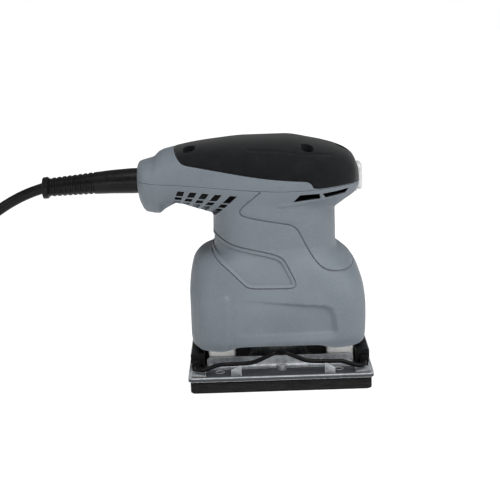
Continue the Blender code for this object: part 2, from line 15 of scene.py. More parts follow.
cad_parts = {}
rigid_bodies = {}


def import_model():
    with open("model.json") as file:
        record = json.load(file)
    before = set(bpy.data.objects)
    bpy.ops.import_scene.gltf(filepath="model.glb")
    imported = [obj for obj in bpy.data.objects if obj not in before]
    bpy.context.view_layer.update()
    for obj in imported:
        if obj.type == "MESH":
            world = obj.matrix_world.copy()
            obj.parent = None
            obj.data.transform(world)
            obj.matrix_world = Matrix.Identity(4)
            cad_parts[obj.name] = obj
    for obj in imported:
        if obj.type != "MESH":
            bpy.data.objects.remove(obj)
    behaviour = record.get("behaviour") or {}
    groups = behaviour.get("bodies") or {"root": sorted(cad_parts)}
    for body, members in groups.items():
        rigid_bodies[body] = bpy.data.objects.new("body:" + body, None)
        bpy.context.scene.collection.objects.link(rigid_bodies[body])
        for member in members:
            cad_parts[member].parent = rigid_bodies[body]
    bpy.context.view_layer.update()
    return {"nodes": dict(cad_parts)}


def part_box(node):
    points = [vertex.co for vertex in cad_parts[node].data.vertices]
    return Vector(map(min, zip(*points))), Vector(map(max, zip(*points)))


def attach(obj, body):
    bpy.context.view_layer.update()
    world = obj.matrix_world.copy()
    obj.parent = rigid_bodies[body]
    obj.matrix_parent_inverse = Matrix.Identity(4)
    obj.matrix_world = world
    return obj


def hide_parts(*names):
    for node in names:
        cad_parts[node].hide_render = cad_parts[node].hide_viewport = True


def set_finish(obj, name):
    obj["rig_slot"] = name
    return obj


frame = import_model()
MM = 0.001


def placed(name, data):
    """A new object in the scene that shows the data."""
    thing = bpy.data.objects.new(name, data)
    bpy.context.scene.collection.objects.link(thing)
    return thing


# ---------------------------------------------------------------- camera, light, floor

CAMERA_PLACE = (-0.0127, -0.730, 0.2427)
CAMERA_YAW, CAMERA_PITCH, CAMERA_ROLL = radians(-0.22), radians(13.27), radians(1.92)
CAMERA_LENS = 90.0
WORLD_LIGHT = 0.27
KEY_LIGHT, FLOOR_LIGHT = 3.0, 2.75
KEY_FROM = (0.3, -0.55, 1.2)
FLOOR_HALF = 3.0
# name, place, the spot it faces, its two sides and its power
AREA_LIGHTS = (
    ("left light", (-0.9, -0.5, 0.5), (0.0, 0.0, 0.07), (0.5, 0.5), 2.0),
    ("right light", (0.9, -0.3, 0.5), (0.0, 0.0, 0.07), (0.5, 0.5), 3.0),
    ("low light", (0.05, -1.0, 0.12), (0.0, 0.0, 0.03), (0.9, 0.16), 1.7),
)


def make_camera():
    ahead = Vector((sin(CAMERA_YAW) * cos(CAMERA_PITCH), cos(CAMERA_YAW) * cos(CAMERA_PITCH),
                    -sin(CAMERA_PITCH)))
    level = Vector((cos(CAMERA_YAW), -sin(CAMERA_YAW), 0.0))
    down = ahead.cross(level)
    right = cos(CAMERA_ROLL) * level + sin(CAMERA_ROLL) * down
    up = sin(CAMERA_ROLL) * level - cos(CAMERA_ROLL) * down
    data = bpy.data.cameras.new("camera")
    data.lens = CAMERA_LENS
    data.clip_start = 0.01
    camera = placed("camera", data)
    turn = Matrix((right, up, -ahead)).transposed().to_4x4()
    camera.matrix_world = Matrix.Translation(CAMERA_PLACE) @ turn
    bpy.context.scene.camera = camera


def area_light(name, place, target, size, power):
    data = bpy.data.lights.new(name, "AREA")
    data.shape = "RECTANGLE"
    data.size, data.size_y = size
    data.energy = power
    light = placed(name, data)
    light.location = place
    light.rotation_euler = (Vector(target) - Vector(place)).to_track_quat("-Z", "Y").to_euler()


def make_stage():
    bpy.context.scene.view_settings.view_transform = "Standard"
    world = bpy.data.worlds.new("studio")
    bpy.context.scene.world = world
    world.use_nodes = True
    tree = world.node_tree
    seen = tree.nodes["Background"]
    lit = tree.nodes.new("ShaderNodeBackground")
    for node, strength in ((seen, 1.0), (lit, WORLD_LIGHT)):
        node.inputs["Color"].default_value = (1.0, 1.0, 1.0, 1.0)
        node.inputs["Strength"].default_value = strength
    rays, mix = tree.nodes.new("ShaderNodeLightPath"), tree.nodes.new("ShaderNodeMixShader")
    tree.links.new(rays.outputs["Is Camera Ray"], mix.inputs[0])
    tree.links.new(lit.outputs[0], mix.inputs[1])
    tree.links.new(seen.outputs[0], mix.inputs[2])
    tree.links.new(mix.outputs[0], tree.nodes["World Output"].inputs["Surface"])
    for light in AREA_LIGHTS:
        area_light(*light)
    floor = bpy.data.meshes.new("floor")
    side = FLOOR_HALF
    floor.from_pydata([(-side, -side, 0), (side, -side, 0), (side, side, 0), (-side, side, 0)],
                      [], [(0, 1, 2, 3)])
    stage = placed("floor", floor)
    paint = bpy.data.materials.new("white floor")
    paint.use_nodes = True
    shader = paint.node_tree.nodes["Principled BSDF"]
    shader.inputs["Base Color"].default_value = (0.96, 0.96, 0.96, 1.0)
    shader.inputs["Roughness"].default_value = 0.9
    floor.materials.append(paint)
    for name, strength, towards, state in (("key bank", KEY_LIGHT, KEY_FROM, "EXCLUDE"),
                                           ("floor bank", FLOOR_LIGHT, (0, 0, 1), "INCLUDE")):
        sun = bpy.data.lights.new(name, "SUN")
        sun.energy, sun.angle = strength, radians(40)
        bank = placed(name, sun)
        bank.rotation_euler = Vector(towards).to_track_quat("Z", "Y").to_euler()
        group = bpy.data.collections.new(name)
        group.objects.link(stage)
        group.collection_objects[0].light_linking.link_state = state
        bank.light_linking.receiver_collection = group
        if state == "INCLUDE":
            bank.light_linking.blocker_collection = group


make_camera()
make_stage()


# ---------------------------------------------------------------- the mains lead

CORD_RADIUS = 3.2
COIL_X = -277.0
COIL_TURNS = 3.8  # in each of the two layers
COIL_OUTER, COIL_INNER = 44.0, 24.2  # radius of the outermost and innermost turn's middle
LAYER_LOW, LAYER_HIGH = 4.6, 9.9
LANDING = 60.0  # degrees round the coil where the lead meets its outermost turn
LEAD_ROUTE = (
    (-135.0, 0.0, 112.8), (-138.3, 0.0, 111.8), (-144.0, 0.0, 110.0), (-152.0, 0.0, 106.7),
    (-162.0, 0.2, 101.2), (-172.0, 0.6, 94.1), (-182.0, 1.4, 84.9), (-192.0, 3.4, 74.2),
    (-202.0, 7.7, 62.6), (-212.0, 13.3, 50.9), (-222.0, 19.0, 39.4), (-232.0, 24.8, 29.2),
    (-240.0, 29.4, 22.2), (-247.0, 33.5, 16.6),
)
TAIL_ROUTE = (
    (-262.0, -44.4, 3.4), (-253.5, -45.3, 3.5), (-250.0, -45.6, 3.7), (-246.0, -45.8, 4.5),
    (-242.0, -46.0, 5.6), (-236.0, -46.0, 6.5),
)


def coil_route():
    """Down the coil: the upper layer winds inwards, and the lower one outwards to the tail."""
    points = []
    steps = 22
    start, total = LANDING, 360.0 * 2 * COIL_TURNS
    end = -90.0 + 360.0 * round((start + total + 90.0) / 360.0)
    total = end - start
    count = int(total / 360.0 * steps)
    for i in range(count + 1):
        share = i / count
        angle = radians(start + total * share)
        inward = min(share, 1 - share) * 2
        radius = COIL_OUTER + (COIL_INNER - COIL_OUTER) * inward
        change = min(max((share - 0.5) * COIL_TURNS * 4.0 + 0.5, 0.0), 1.0)
        change = change * change * (3 - 2 * change)
        height = LAYER_HIGH + (LAYER_LOW - LAYER_HIGH) * change
        points.append((COIL_X + radius * cos(angle), radius * sin(angle), height))
    return points


def catmull_rom(route, step):
    """Evenly spaced points on a smooth curve through the route."""
    route = [Vector(point) for point in route]
    ends = [2 * route[0] - route[1], *route, 2 * route[-1] - route[-2]]
    fine = []
    for a, b, c, d in zip(ends, ends[1:], ends[2:], ends[3:]):
        for i in range(12):
            t = i / 12
            fine.append(0.5 * (
                2 * b + (c - a) * t + (2 * a - 5 * b + 4 * c - d) * t * t
                + (3 * b - a - 3 * c + d) * t ** 3
            ))
    fine.append(route[-1])
    places, walked = [fine[0]], 0.0
    for before, after in zip(fine, fine[1:]):
        walked += (after - before).length
        if walked >= step:
            places.append(after)
            walked = 0.0
    if (places[-1] - fine[-1]).length < 0.5 * step:
        places.pop()
    return [*places, fine[-1]]


POINT_RADIUS = 0.01  # a curve's box grows by its points' radius in metres, so that stays small


def poly_curve(name, route, radius, step, sides=6):
    curve = bpy.data.curves.new(name, "CURVE")
    curve.dimensions = "3D"
    curve.bevel_depth = radius * MM / POINT_RADIUS
    curve.bevel_resolution = sides
    curve.use_fill_caps = True
    spline = curve.splines.new("POLY")
    places = catmull_rom(route, step)
    spline.points.add(len(places) - 1)
    for point, place in zip(spline.points, places):
        point.co = (*(place * MM), 1.0)
        point.radius = POINT_RADIUS
    spline.use_smooth = True
    return placed(name, curve)


lead = poly_curve("mains_lead", [*LEAD_ROUTE, *coil_route(), *TAIL_ROUTE], CORD_RADIUS, 2.5)
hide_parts("cord_run", "cord_coil", "cord_tail")
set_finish(lead, "cord_rubber")
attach(lead, "housing")


# ---------------------------------------------------------------- smooth shells from a field

SHELL_STEP = 0.7
GRIP_STEP = 0.55
WALL = 2.6
GRIP_THICK = 1.8
SEAM_GAP = 0.14
SECTION_ROUND = 2.4
FLANK_REACH, FAR_UP = 60.0, 150.0  # cutters run this far, past the flanks and past the top
BLEND = 2.2
# height, rear x, front x, half width, squareness of the section
COLUMN = (
    (18.0, -50.9, 50.7, 42.4, 5.0), (22.0, -51.2, 50.9, 42.6, 5.0), (26.0, -51.7, 51.4, 43.2, 5.0),
    (41.0, -51.8, 51.9, 43.5, 4.6), (50.0, -51.9, 51.2, 42.8, 4.1), (58.0, -51.3, 49.1, 41.0, 3.7),
    (66.0, -49.6, 45.0, 38.7, 3.3), (71.0, -45.8, 39.9, 36.8, 3.1), (75.0, -37.9, 35.8, 35.2, 2.9),
    (79.0, -37.2, 35.4, 34.2, 2.8), (95.0, -36.6, 35.4, 34.0, 2.8), (112.0, -36.6, 35.4, 33.6, 2.8),
)
NECK_TOP = 112.0
# place along x, top, underside, half width
HEAD = (
    (-80.0, 125.2, 106.8, 12.5), (-79.0, 126.3, 103.0, 14.8), (-77.0, 127.0, 98.6, 17.8),
    (-75.5, 127.3, 97.0, 19.0), (-70.6, 128.6, 96.0, 21.0), (-67.5, 131.6, 95.9, 21.8),
    (-64.5, 133.1, 98.4, 22.4), (-58.0, 134.6, 102.0, 24.0), (-46.0, 136.8, 98.6, 26.5),
    (-34.0, 138.2, 95.4, 29.5), (-16.0, 139.5, 94.3, 33.0), (6.0, 139.5, 94.0, 34.8),
    (23.0, 136.6, 95.0, 34.0), (34.0, 133.8, 97.6, 31.0), (41.0, 131.0, 101.9, 26.5),
    (46.0, 127.4, 105.0, 21.3), (48.6, 122.6, 107.8, 15.3), (50.2, 118.0, 110.6, 8.0),
)
HEAD_ENDS = (-80.0, 50.2)
SEAM = (
    (-90.0, 116.6), (-78.5, 116.7), (-75.0, 116.6), (-70.6, 115.9), (-55.0, 115.5),
    (-33.0, 114.0), (-11.3, 112.3), (4.9, 111.6), (21.0, 111.9), (32.0, 112.6), (43.7, 113.2),
    (60.0, 113.2),
)
GRIP_EDGE = (
    (-60.2, 150.0), (-60.0, 140.0), (-58.6, 134.8), (-56.4, 130.8), (-54.2, 128.0),
    (-51.8, 126.5), (-48.0, 125.9), (-36.0, 124.0), (-21.9, 121.6), (-8.0, 119.3),
    (5.1, 117.8), (14.0, 117.1), (17.8, 116.8), (20.2, 115.8), (21.2, 114.2), (21.8, 112.7),
    (27.0, 112.6), (32.0, 113.0), (43.7, 113.5), (60.0, 113.5), (60.0, 150.0),
)


def smooth_rows(table, at, straight=0.0):
    """The table's rows at each place: a monotone cubic through them, mixed with straight lines."""
    rows = np.array(table, float)
    places, values = rows[:, 0], rows[:, 1:]
    gaps = np.diff(places)[:, None]
    slopes = np.diff(values, axis=0) / gaps
    ends = np.zeros_like(values)
    ends[0], ends[-1] = slopes[0], slopes[-1]
    product = slopes[:-1] * slopes[1:]
    total = slopes[:-1] + slopes[1:]
    ends[1:-1] = np.where(product > 0, 2 * product / np.where(total == 0, 1, total), 0)
    at = np.clip(at, places[0], places[-1])
    i = np.clip(np.searchsorted(places, at, side="right") - 1, 0, len(places) - 2)
    gap = gaps[i]
    t = (at - places[i])[:, None] / gap
    curve = (
        values[i] * (1 + 2 * t) * (1 - t) ** 2 + values[i + 1] * t * t * (3 - 2 * t)
        + gap * (ends[i] * t * (1 - t) ** 2 + ends[i + 1] * t * t * (t - 1))
    )
    line = values[i] * (1 - t) + values[i + 1] * t
    share = np.asarray(straight, float)[..., None]
    return curve * (1 - share) + line * share


def fade(low, high, value):
    t = np.clip((value - low) / (high - low), 0, 1)
    return t * t * (3 - 2 * t)


def smooth_union(a, b, width):
    share = np.clip(0.5 + 0.5 * (b - a) / width, 0, 1)
    return b + (a - b) * share - width * share * (1 - share)


def smooth_common(a, b, width):
    return -smooth_union(-a, -b, width)


def rounded_path(points, rounds=2, closed=False):
    """The polyline with its corners cut, more finely each round."""
    points = np.array(points, float)
    for _ in range(rounds):
        before = points if closed else points[:-1]
        after = np.roll(points, -1, axis=0) if closed else points[1:]
        fine = np.stack([before * 0.75 + after * 0.25, before * 0.25 + after * 0.75], 1)
        fine = fine.reshape(-1, 2)
        points = fine if closed else np.vstack([points[:1], fine[1:-1], points[-1:]])
    return points


def path_distance(points, across, up):
    """Distance in a side view from each place to the nearest part of a path."""
    nearest = np.full(np.broadcast(across, up).shape, 1e9)
    for (x0, z0), (x1, z1) in zip(points[:-1], points[1:]):
        dx, dz = x1 - x0, z1 - z0
        size = max(dx * dx + dz * dz, 1e-9)
        t = np.clip(((across - x0) * dx + (up - z0) * dz) / size, 0, 1)
        gap = (across - x0 - t * dx) ** 2 + (up - z0 - t * dz) ** 2
        nearest = np.minimum(nearest, gap)
    return np.sqrt(nearest)


def depth_inside(points, across, up):
    """Signed distance in a side view, above zero inside the outline."""
    points = np.vstack([points, points[:1]])
    inside = np.zeros(np.broadcast(across, up).shape, bool)
    for (x0, z0), (x1, z1) in zip(points[:-1], points[1:]):
        if z0 != z1:
            crosses = (z0 > up) != (z1 > up)
            inside ^= crosses & (across < x0 + (up - z0) * (x1 - x0) / (z1 - z0))
    return np.where(inside, 1, -1) * path_distance(points, across, up)


class Grid:
    """Even samples of one half of the space, y >= 0; the other half is its mirror image."""

    def __init__(self, low, high, step):
        self.step = step
        self.x = np.arange(low[0], high[0] + step, step)
        self.y = np.arange(0.0, high[1] + step, step)
        self.z = np.arange(low[2], high[2] + step, step)
        self.across = self.x[:, None, None]
        self.out = self.y[None, :, None]
        self.up = self.z[None, None, :]

    def distance(self, field):
        """The field scaled so that it tells millimetres from its own zero surface."""
        slopes = np.gradient(field, self.step)
        slopes[1][:, 0] = 0.0
        return field / np.sqrt(sum(slope * slope for slope in slopes) + 1e-6)

    def column(self):
        rear, front, half, power = smooth_rows(COLUMN, self.z).T[:, None, None, :]
        u = np.abs((self.across - (rear + front) / 2) / ((front - rear) / 2))
        ring = (u ** power + (self.out / half) ** power) ** (1 / power) - 1
        return np.maximum(np.clip(self.distance(ring), -20, 20), self.up - NECK_TOP)

    def head(self):
        angular = 0.85 * (1 - fade(-60.0, -50.0, self.x))
        top, under, half = smooth_rows(HEAD, self.x, angular).T[:, :, None, None]
        seam = np.interp(self.x, *np.array(SEAM).T)[:, None, None]
        reach = np.where(self.up > seam, top - seam, seam - under)
        ring = ((np.abs(self.up - seam) / reach) ** SECTION_ROUND
                + (self.out / half) ** SECTION_ROUND) ** (1 / SECTION_ROUND) - 1
        side = np.clip(self.distance(ring), -20, 20)
        side = smooth_common(side, HEAD_ENDS[0] - self.across, 1.2)
        return smooth_common(side, self.across - HEAD_ENDS[1], 2.0)

    def side_view(self):
        return self.x[:, None], self.z[None, :]

    def mesh(self, name, field):
        """The closed mesh of the field's zero surface, on both sides of y = 0."""
        whole = np.concatenate([field[:, :0:-1], field], axis=1)
        low = (self.x[0], -self.y[-1], self.z[0])
        return mesh_of_field(name, whole, low, self.step)


def sampled(volume, places):
    """The volume's value at each place, given in cells, by straight interpolation."""
    places = np.clip(places, 0, np.array(volume.shape) - 1.001)
    corner = places.astype(int)
    part = places - corner
    total = 0.0
    for i in (0, 1):
        for j in (0, 1):
            for k in (0, 1):
                share = (
                    np.abs(1 - i - part[:, 0]) * np.abs(1 - j - part[:, 1])
                    * np.abs(1 - k - part[:, 2])
                )
                total = total + share * volume[corner[:, 0] + i, corner[:, 1] + j,
                                               corner[:, 2] + k]
    return total


def mesh_of_field(name, field, low, step, rounds=3):
    """Quads round the field's zero surface, evened out and drawn back onto it."""
    field = np.pad(field, 1, constant_values=2.0 * step)
    inside = field < 0
    cells = np.array(field.shape) - 1
    ids, centres, quads = [], [], []
    for axis in range(3):
        first = [slice(None)] * 3
        second = [slice(None)] * 3
        first[axis], second[axis] = slice(0, -1), slice(1, None)
        change = np.argwhere(inside[tuple(first)] != inside[tuple(second)])
        onward = change.copy()
        onward[:, axis] += 1
        here, there = field[tuple(change.T)], field[tuple(onward.T)]
        crossing = change.astype(float)
        crossing[:, axis] += here / (here - there)
        b, c = (axis + 1) % 3, (axis + 2) % 3
        around = []
        for db, dc in ((0, 0), (-1, 0), (-1, -1), (0, -1)):
            cell = change.copy()
            cell[:, b] += db
            cell[:, c] += dc
            around.append(np.ravel_multi_index(tuple(cell.T), tuple(cells)))
        quad = np.stack(around, 1)
        quad[here >= 0] = quad[here >= 0][:, ::-1]
        quads.append(quad)
        for cell in around:
            ids.append(cell)
            centres.append(crossing)
    ids, centres, quads = np.concatenate(ids), np.concatenate(centres), np.concatenate(quads)
    unique, index = np.unique(ids, return_inverse=True)
    index = index.reshape(-1)
    count = np.bincount(index)
    places = np.stack([np.bincount(index, centres[:, i]) / count for i in range(3)], 1)
    quads = np.searchsorted(unique, quads)
    ends = np.concatenate([quads[:, [0, 1]], quads[:, [1, 2]], quads[:, [2, 3]],
                           quads[:, [3, 0]]])
    degree = np.bincount(ends[:, 0], minlength=len(places))[:, None]
    slopes = np.gradient(field)
    for _ in range(rounds):
        spread = np.stack([np.bincount(ends[:, 0], places[ends[:, 1], i],
                                       minlength=len(places)) for i in range(3)], 1)
        places = 0.5 * places + 0.5 * spread / np.maximum(degree, 1)
        for _ in range(2):
            value = sampled(field, places)
            slope = np.stack([sampled(one, places) for one in slopes], 1)
            size = np.maximum((slope * slope).sum(1), 0.05 * step * step)
            move = slope * (value / size)[:, None]
            places = places - np.clip(move, -0.5, 0.5)
    places = (places - 1) * step + np.array(low)
    return new_mesh(name, places, quads)


def new_mesh(name, places, faces):
    """A mesh object from places in millimetres."""
    data = bpy.data.meshes.new(name)
    faces = faces.tolist() if isinstance(faces, np.ndarray) else faces
    data.from_pydata((np.array(places, float) * MM).tolist(), [], faces)
    data.update()
    return placed(name, data)


def settle(thing):
    """Turns the object's modifiers into its mesh."""
    graph = bpy.context.evaluated_depsgraph_get()
    data = bpy.data.meshes.new_from_object(thing.evaluated_get(graph), depsgraph=graph)
    thing.modifiers.clear()
    old, thing.data = thing.data, data
    bpy.data.meshes.remove(old)
    return thing


def combine(thing, others, operation="DIFFERENCE"):
    """Cuts, joins or crosses the object with each of the others, which are used up."""
    others = list(others)
    for other in others:
        change = thing.modifiers.new("change", "BOOLEAN")
        change.operation, change.solver, change.object = operation, "MANIFOLD", other
    settle(thing)
    for other in others:
        bpy.data.objects.remove(other)
    return thing


def prism(name, outline, axis, low, high):
    """A straight-sided solid; its outline's two numbers are the two axes after the given one,
    in the order x, y, z, x."""
    count = len(outline)
    ring = np.array(outline, float)
    area = sum(a[0] * b[1] - b[0] * a[1] for a, b in zip(ring, np.roll(ring, -1, axis=0)))
    if area < 0:
        ring = ring[::-1]
    first = "xyz".index(axis)
    places = np.zeros((2 * count, 3))
    for half, height in ((0, low), (1, high)):
        part = slice(half * count, (half + 1) * count)
        places[part, first] = height
        places[part, (first + 1) % 3] = ring[:, 0]
        places[part, (first + 2) % 3] = ring[:, 1]
    faces = [list(range(count))[::-1], list(range(count, 2 * count))]
    faces += [[i, (i + 1) % count, count + (i + 1) % count, count + i] for i in range(count)]
    return new_mesh(name, places, faces)


def side_prism(name, outline, low, high):
    """A straight-sided solid along Y from an outline of (x, z) places."""
    return prism(name, [(z, x) for x, z in outline], "y", low, high)


def block(name, low, high):
    return prism(name, [(low[0], low[1]), (high[0], low[1]), (high[0], high[1]),
                        (low[0], high[1])], "z", low[2], high[2])


def copy_of(thing):
    return placed(thing.name + " copy", thing.data.copy())


def shifted(points, by, closed=False):
    """The path moved sideways, to its left."""
    points = np.array(points, float)
    if closed:
        ahead = np.roll(points, -1, axis=0) - np.roll(points, 1, axis=0)
    else:
        ahead = np.gradient(points, axis=0)
    ahead /= np.linalg.norm(ahead, axis=1)[:, None]
    return points + by * np.stack([-ahead[:, 1], ahead[:, 0]], 1)


def flank_prism(name, outline):
    """A side prism that runs right through the tool and past both flanks."""
    return side_prism(name, outline, -FLANK_REACH, FLANK_REACH)


def smooth_shade(thing, angle=32.0):
    thing.data.shade_smooth()
    thing.data.set_sharp_from_angle(angle=radians(angle))
    return thing


def finish_piece(thing, body, slot, *nodes, angle=32.0):
    """Says what the piece rides on, stands for and is made of, and shades it smooth unless
    the angle is 0."""
    if angle:
        smooth_shade(thing, angle)
    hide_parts(*nodes)
    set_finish(thing, slot)
    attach(thing, body)


def soften(thing, width, segments=2, angle=30.0):
    """Rounds the object's sharp edges and keeps the shading of its flat faces flat."""
    work = bmesh.new()
    work.from_mesh(thing.data)
    bmesh.ops.remove_doubles(work, verts=work.verts, dist=0.002 * MM)
    bmesh.ops.dissolve_limit(work, angle_limit=radians(0.8), verts=work.verts, edges=work.edges)
    work.to_mesh(thing.data)
    work.free()
    thing.data.shade_smooth()
    change = thing.modifiers.new("soften", "BEVEL")
    change.width = width * MM
    change.segments = segments
    change.limit_method = "ANGLE"
    change.angle_limit = radians(angle)
    change.use_clamp_overlap = True
    even = thing.modifiers.new("even", "WEIGHTED_NORMAL")
    even.mode, even.weight, even.keep_sharp = "FACE_AREA", 50, False
    return settle(thing)


# ---------------------------------------------------------------- housing, cover and grip

GROOVE_A = (
    (-8.4, 111.8), (-14.0, 107.3), (-19.5, 102.6), (-21.0, 99.6), (-18.5, 97.6), (-8.0, 95.4),
    (3.3, 93.3), (9.0, 92.2), (12.6, 88.8), (15.4, 82.6), (18.2, 76.8), (22.0, 70.6),
    (27.0, 66.0), (33.5, 64.4), (40.2, 64.0), (46.0, 65.2), (60.0, 66.0),
)
PANEL_B = (
    (-60.0, 90.0), (-38.0, 86.6), (-33.0, 84.4), (-26.1, 80.9), (-15.6, 78.7), (-4.2, 76.3),
    (2.3, 74.0), (4.8, 71.0), (7.4, 65.8), (10.2, 60.4), (9.8, 57.2), (6.0, 56.8),
    (-7.0, 57.0), (-16.4, 57.3), (-19.6, 59.4), (-27.4, 67.1), (-34.1, 71.8), (-37.6, 74.6),
    (-42.0, 77.4), (-60.0, 80.4),
)
WEDGE_C = (
    (-26.0, 51.9), (-9.0, 49.9), (17.1, 47.1), (29.8, 46.3), (32.2, 43.4), (33.9, 33.6),
    (33.4, 27.6), (24.0, 22.0), (-26.0, 22.0),
)
PILLAR_D = (
    (-47.0, 10.0), (-47.0, 49.8), (-46.0, 51.4), (-38.5, 51.8), (-31.2, 53.6), (-28.6, 52.8),
    (-28.2, 50.0), (-28.6, 10.0),
)
CREASE = ((-15.0, 134.2), (5.7, 133.2), (13.0, 131.6), (17.0, 131.1), (24.0, 131.0), (33.0, 130.0))
VENT_LIP = ((2.0, 103.4), (9.0, 103.9), (25.0, 105.6), (36.0, 107.3), (43.0, 110.0), (48.0, 112.4))
SKIRT_EDGE = (
    (-62.0, 24.6), (-53.0, 23.4), (-49.0, 22.1), (-43.0, 21.1), (-36.0, 20.8), (-30.5, 21.0),
    (-27.2, 21.9), (-24.6, 22.9), (-20.0, 23.3), (20.0, 23.3), (24.2, 22.9), (27.0, 21.9),
    (31.0, 21.0), (37.5, 20.8), (44.0, 21.1), (50.5, 22.1), (55.5, 23.4), (64.0, 24.6),
)
# each slanted vent: its top left corner, a place lower on that side, the heights of its rungs
REAR_VENTS = (
    ((-55.9, 112.2), (-59.0, 105.0), 108.8, 106.2), ((-48.7, 111.6), (-53.3, 104.4), 108.0, 105.3),
    ((-41.8, 111.0), (-47.0, 103.8), 107.2, 104.4), ((-34.3, 110.4), (-41.0, 102.9), 106.1, 103.3),
    ((-25.7, 109.8), (-34.6, 100.9), 104.9, 101.8),
)
VENT_WIDTH, VENT_TILT, VENT_TAIL, RUNG = 4.1, 0.3, 6.0, 0.75
FRONT_VENTS = (
    ((9.7, 105.3), (14.0, 109.5), (25.2, 109.9), (25.7, 106.9)),
    ((26.6, 109.8), (42.6, 111.4), (40.0, 108.7), (28.6, 107.2)),
)
SWITCH_HOLE = ((40.0, -8.0, 105.0), (60.0, 8.0, 124.2))
CORD_Z, CORD_HOLE = 115.0, 7.9
# x, y, floor height of its recess and shank length of each cover screw
SCREWS = (
    (-49.0, -12.5, 131.0, 15.0), (-49.0, 12.5, 131.0, 15.0), (19.0, -20.0, 129.5, 15.0),
    (19.0, 20.0, 129.5, 15.0), (40.5, 0.0, 127.0, 3.0),
)
RECESS_RADIUS = 4.1
GROOVE_WIDTH, PANEL_LINE, PANEL_BORDER, LINE_DEPTH = 1.1, 1.0, 1.9, 0.75


def flank_relief(grid):
    """How far each place of the flanks lies below the plain surface, in a side view."""
    across, up = grid.side_view()
    line = path_distance(rounded_path(GROOVE_A), across, up)
    relief = 0.3 * np.exp(-(line / 1.2) ** 2)
    panel = depth_inside(rounded_path(PANEL_B, closed=True), across, up)
    relief += 0.45 * fade(0.0, 2.2, panel)
    wedge = depth_inside(rounded_path(WEDGE_C, closed=True), across, up)
    depth = 2.1 * np.clip((across + 14.0) / 46.0, 0, 1) * fade(25.0, 32.0, up)
    relief += (depth + 0.3 * fade(-26.0, -20.0, across) * (up > 30)) * np.clip(
        wedge / (1.1 + 2.3 * fade(24.0, 29.0, across)), 0, 1)
    pillar = depth_inside(rounded_path(PILLAR_D, closed=True), across, up)
    relief -= 1.3 * fade(-0.8, 1.4, pillar)
    lip = path_distance(rounded_path(VENT_LIP), across, up)
    relief -= 0.5 * np.exp(-(lip / 0.8) ** 2)
    return relief[:, None, :]


def disc(name, centre, radius, axis, low, high, points=40):
    ring = [(centre[0] + radius * cos(2 * pi * i / points),
             centre[1] + radius * sin(2 * pi * i / points)) for i in range(points)]
    return prism(name, ring, axis, low, high)


def cord_hole(name):
    return disc(name, (0.0, CORD_Z), CORD_HOLE, "x", -90.0, -72.0)


def vent_cutters():
    """The slanted slots of both flanks, each rear one crossed by two rungs."""
    outlines, half = [], RUNG / 2
    for (x, z), (low_x, low_z), upper, lower in REAR_VENTS:
        lean = (x - low_x) / (z - low_z)
        for top, bottom in ((z, upper + half), (upper - half, lower + half),
                            (lower - half, lower - VENT_TAIL)):
            left, low_left = x + lean * (top - z), x + lean * (bottom - z)
            outlines.append([
                (low_left, bottom), (low_left + VENT_WIDTH, bottom - VENT_TILT),
                (left + VENT_WIDTH, top - VENT_TILT), (left, top),
            ])
    return [side_prism(f"vent {i} {side}", outline, *sorted((side * 9.0, side * 46.0)))
            for i, outline in enumerate([*outlines, *FRONT_VENTS]) for side in (-1, 1)]


def fine_lines(solid):
    """Cutters for the narrow moulded lines: bands of the flank's outer half millimetre or so."""
    groove = rounded_path(GROOVE_A, 3)
    half = GROOVE_WIDTH / 2
    band = flank_prism("groove", [*shifted(groove, half), *shifted(groove, -half)[::-1]])
    panel = rounded_path(PANEL_B, 3, closed=True)
    half = PANEL_LINE / 2
    edge = flank_prism("panel line", shifted(panel, half, closed=True))
    inner = shifted(panel, -half, closed=True)
    combine(edge, [side_prism("panel line room", inner, -FLANK_REACH - 1, FLANK_REACH + 1)])
    field = flank_prism("panel field", shifted(panel, -PANEL_BORDER, closed=True))
    for cutter in (band, edge, field):
        combine(cutter, [copy_of(solid)])
    bpy.data.objects.remove(solid)
    return [band, edge, field]


def seam_side(name, side):
    """Everything above the seam, or below it where side is -1, less the seam's gap."""
    rear, front, far = -95.0, 65.0, FAR_UP + 10 if side > 0 else -5.0
    path = [(rear, SEAM[0][1]), *SEAM[1:-1], (front, SEAM[-1][1])]
    line = [(x, z + side * SEAM_GAP) for x, z in rounded_path(path)]
    return flank_prism(name, [*line, (front, far), (rear, far)])


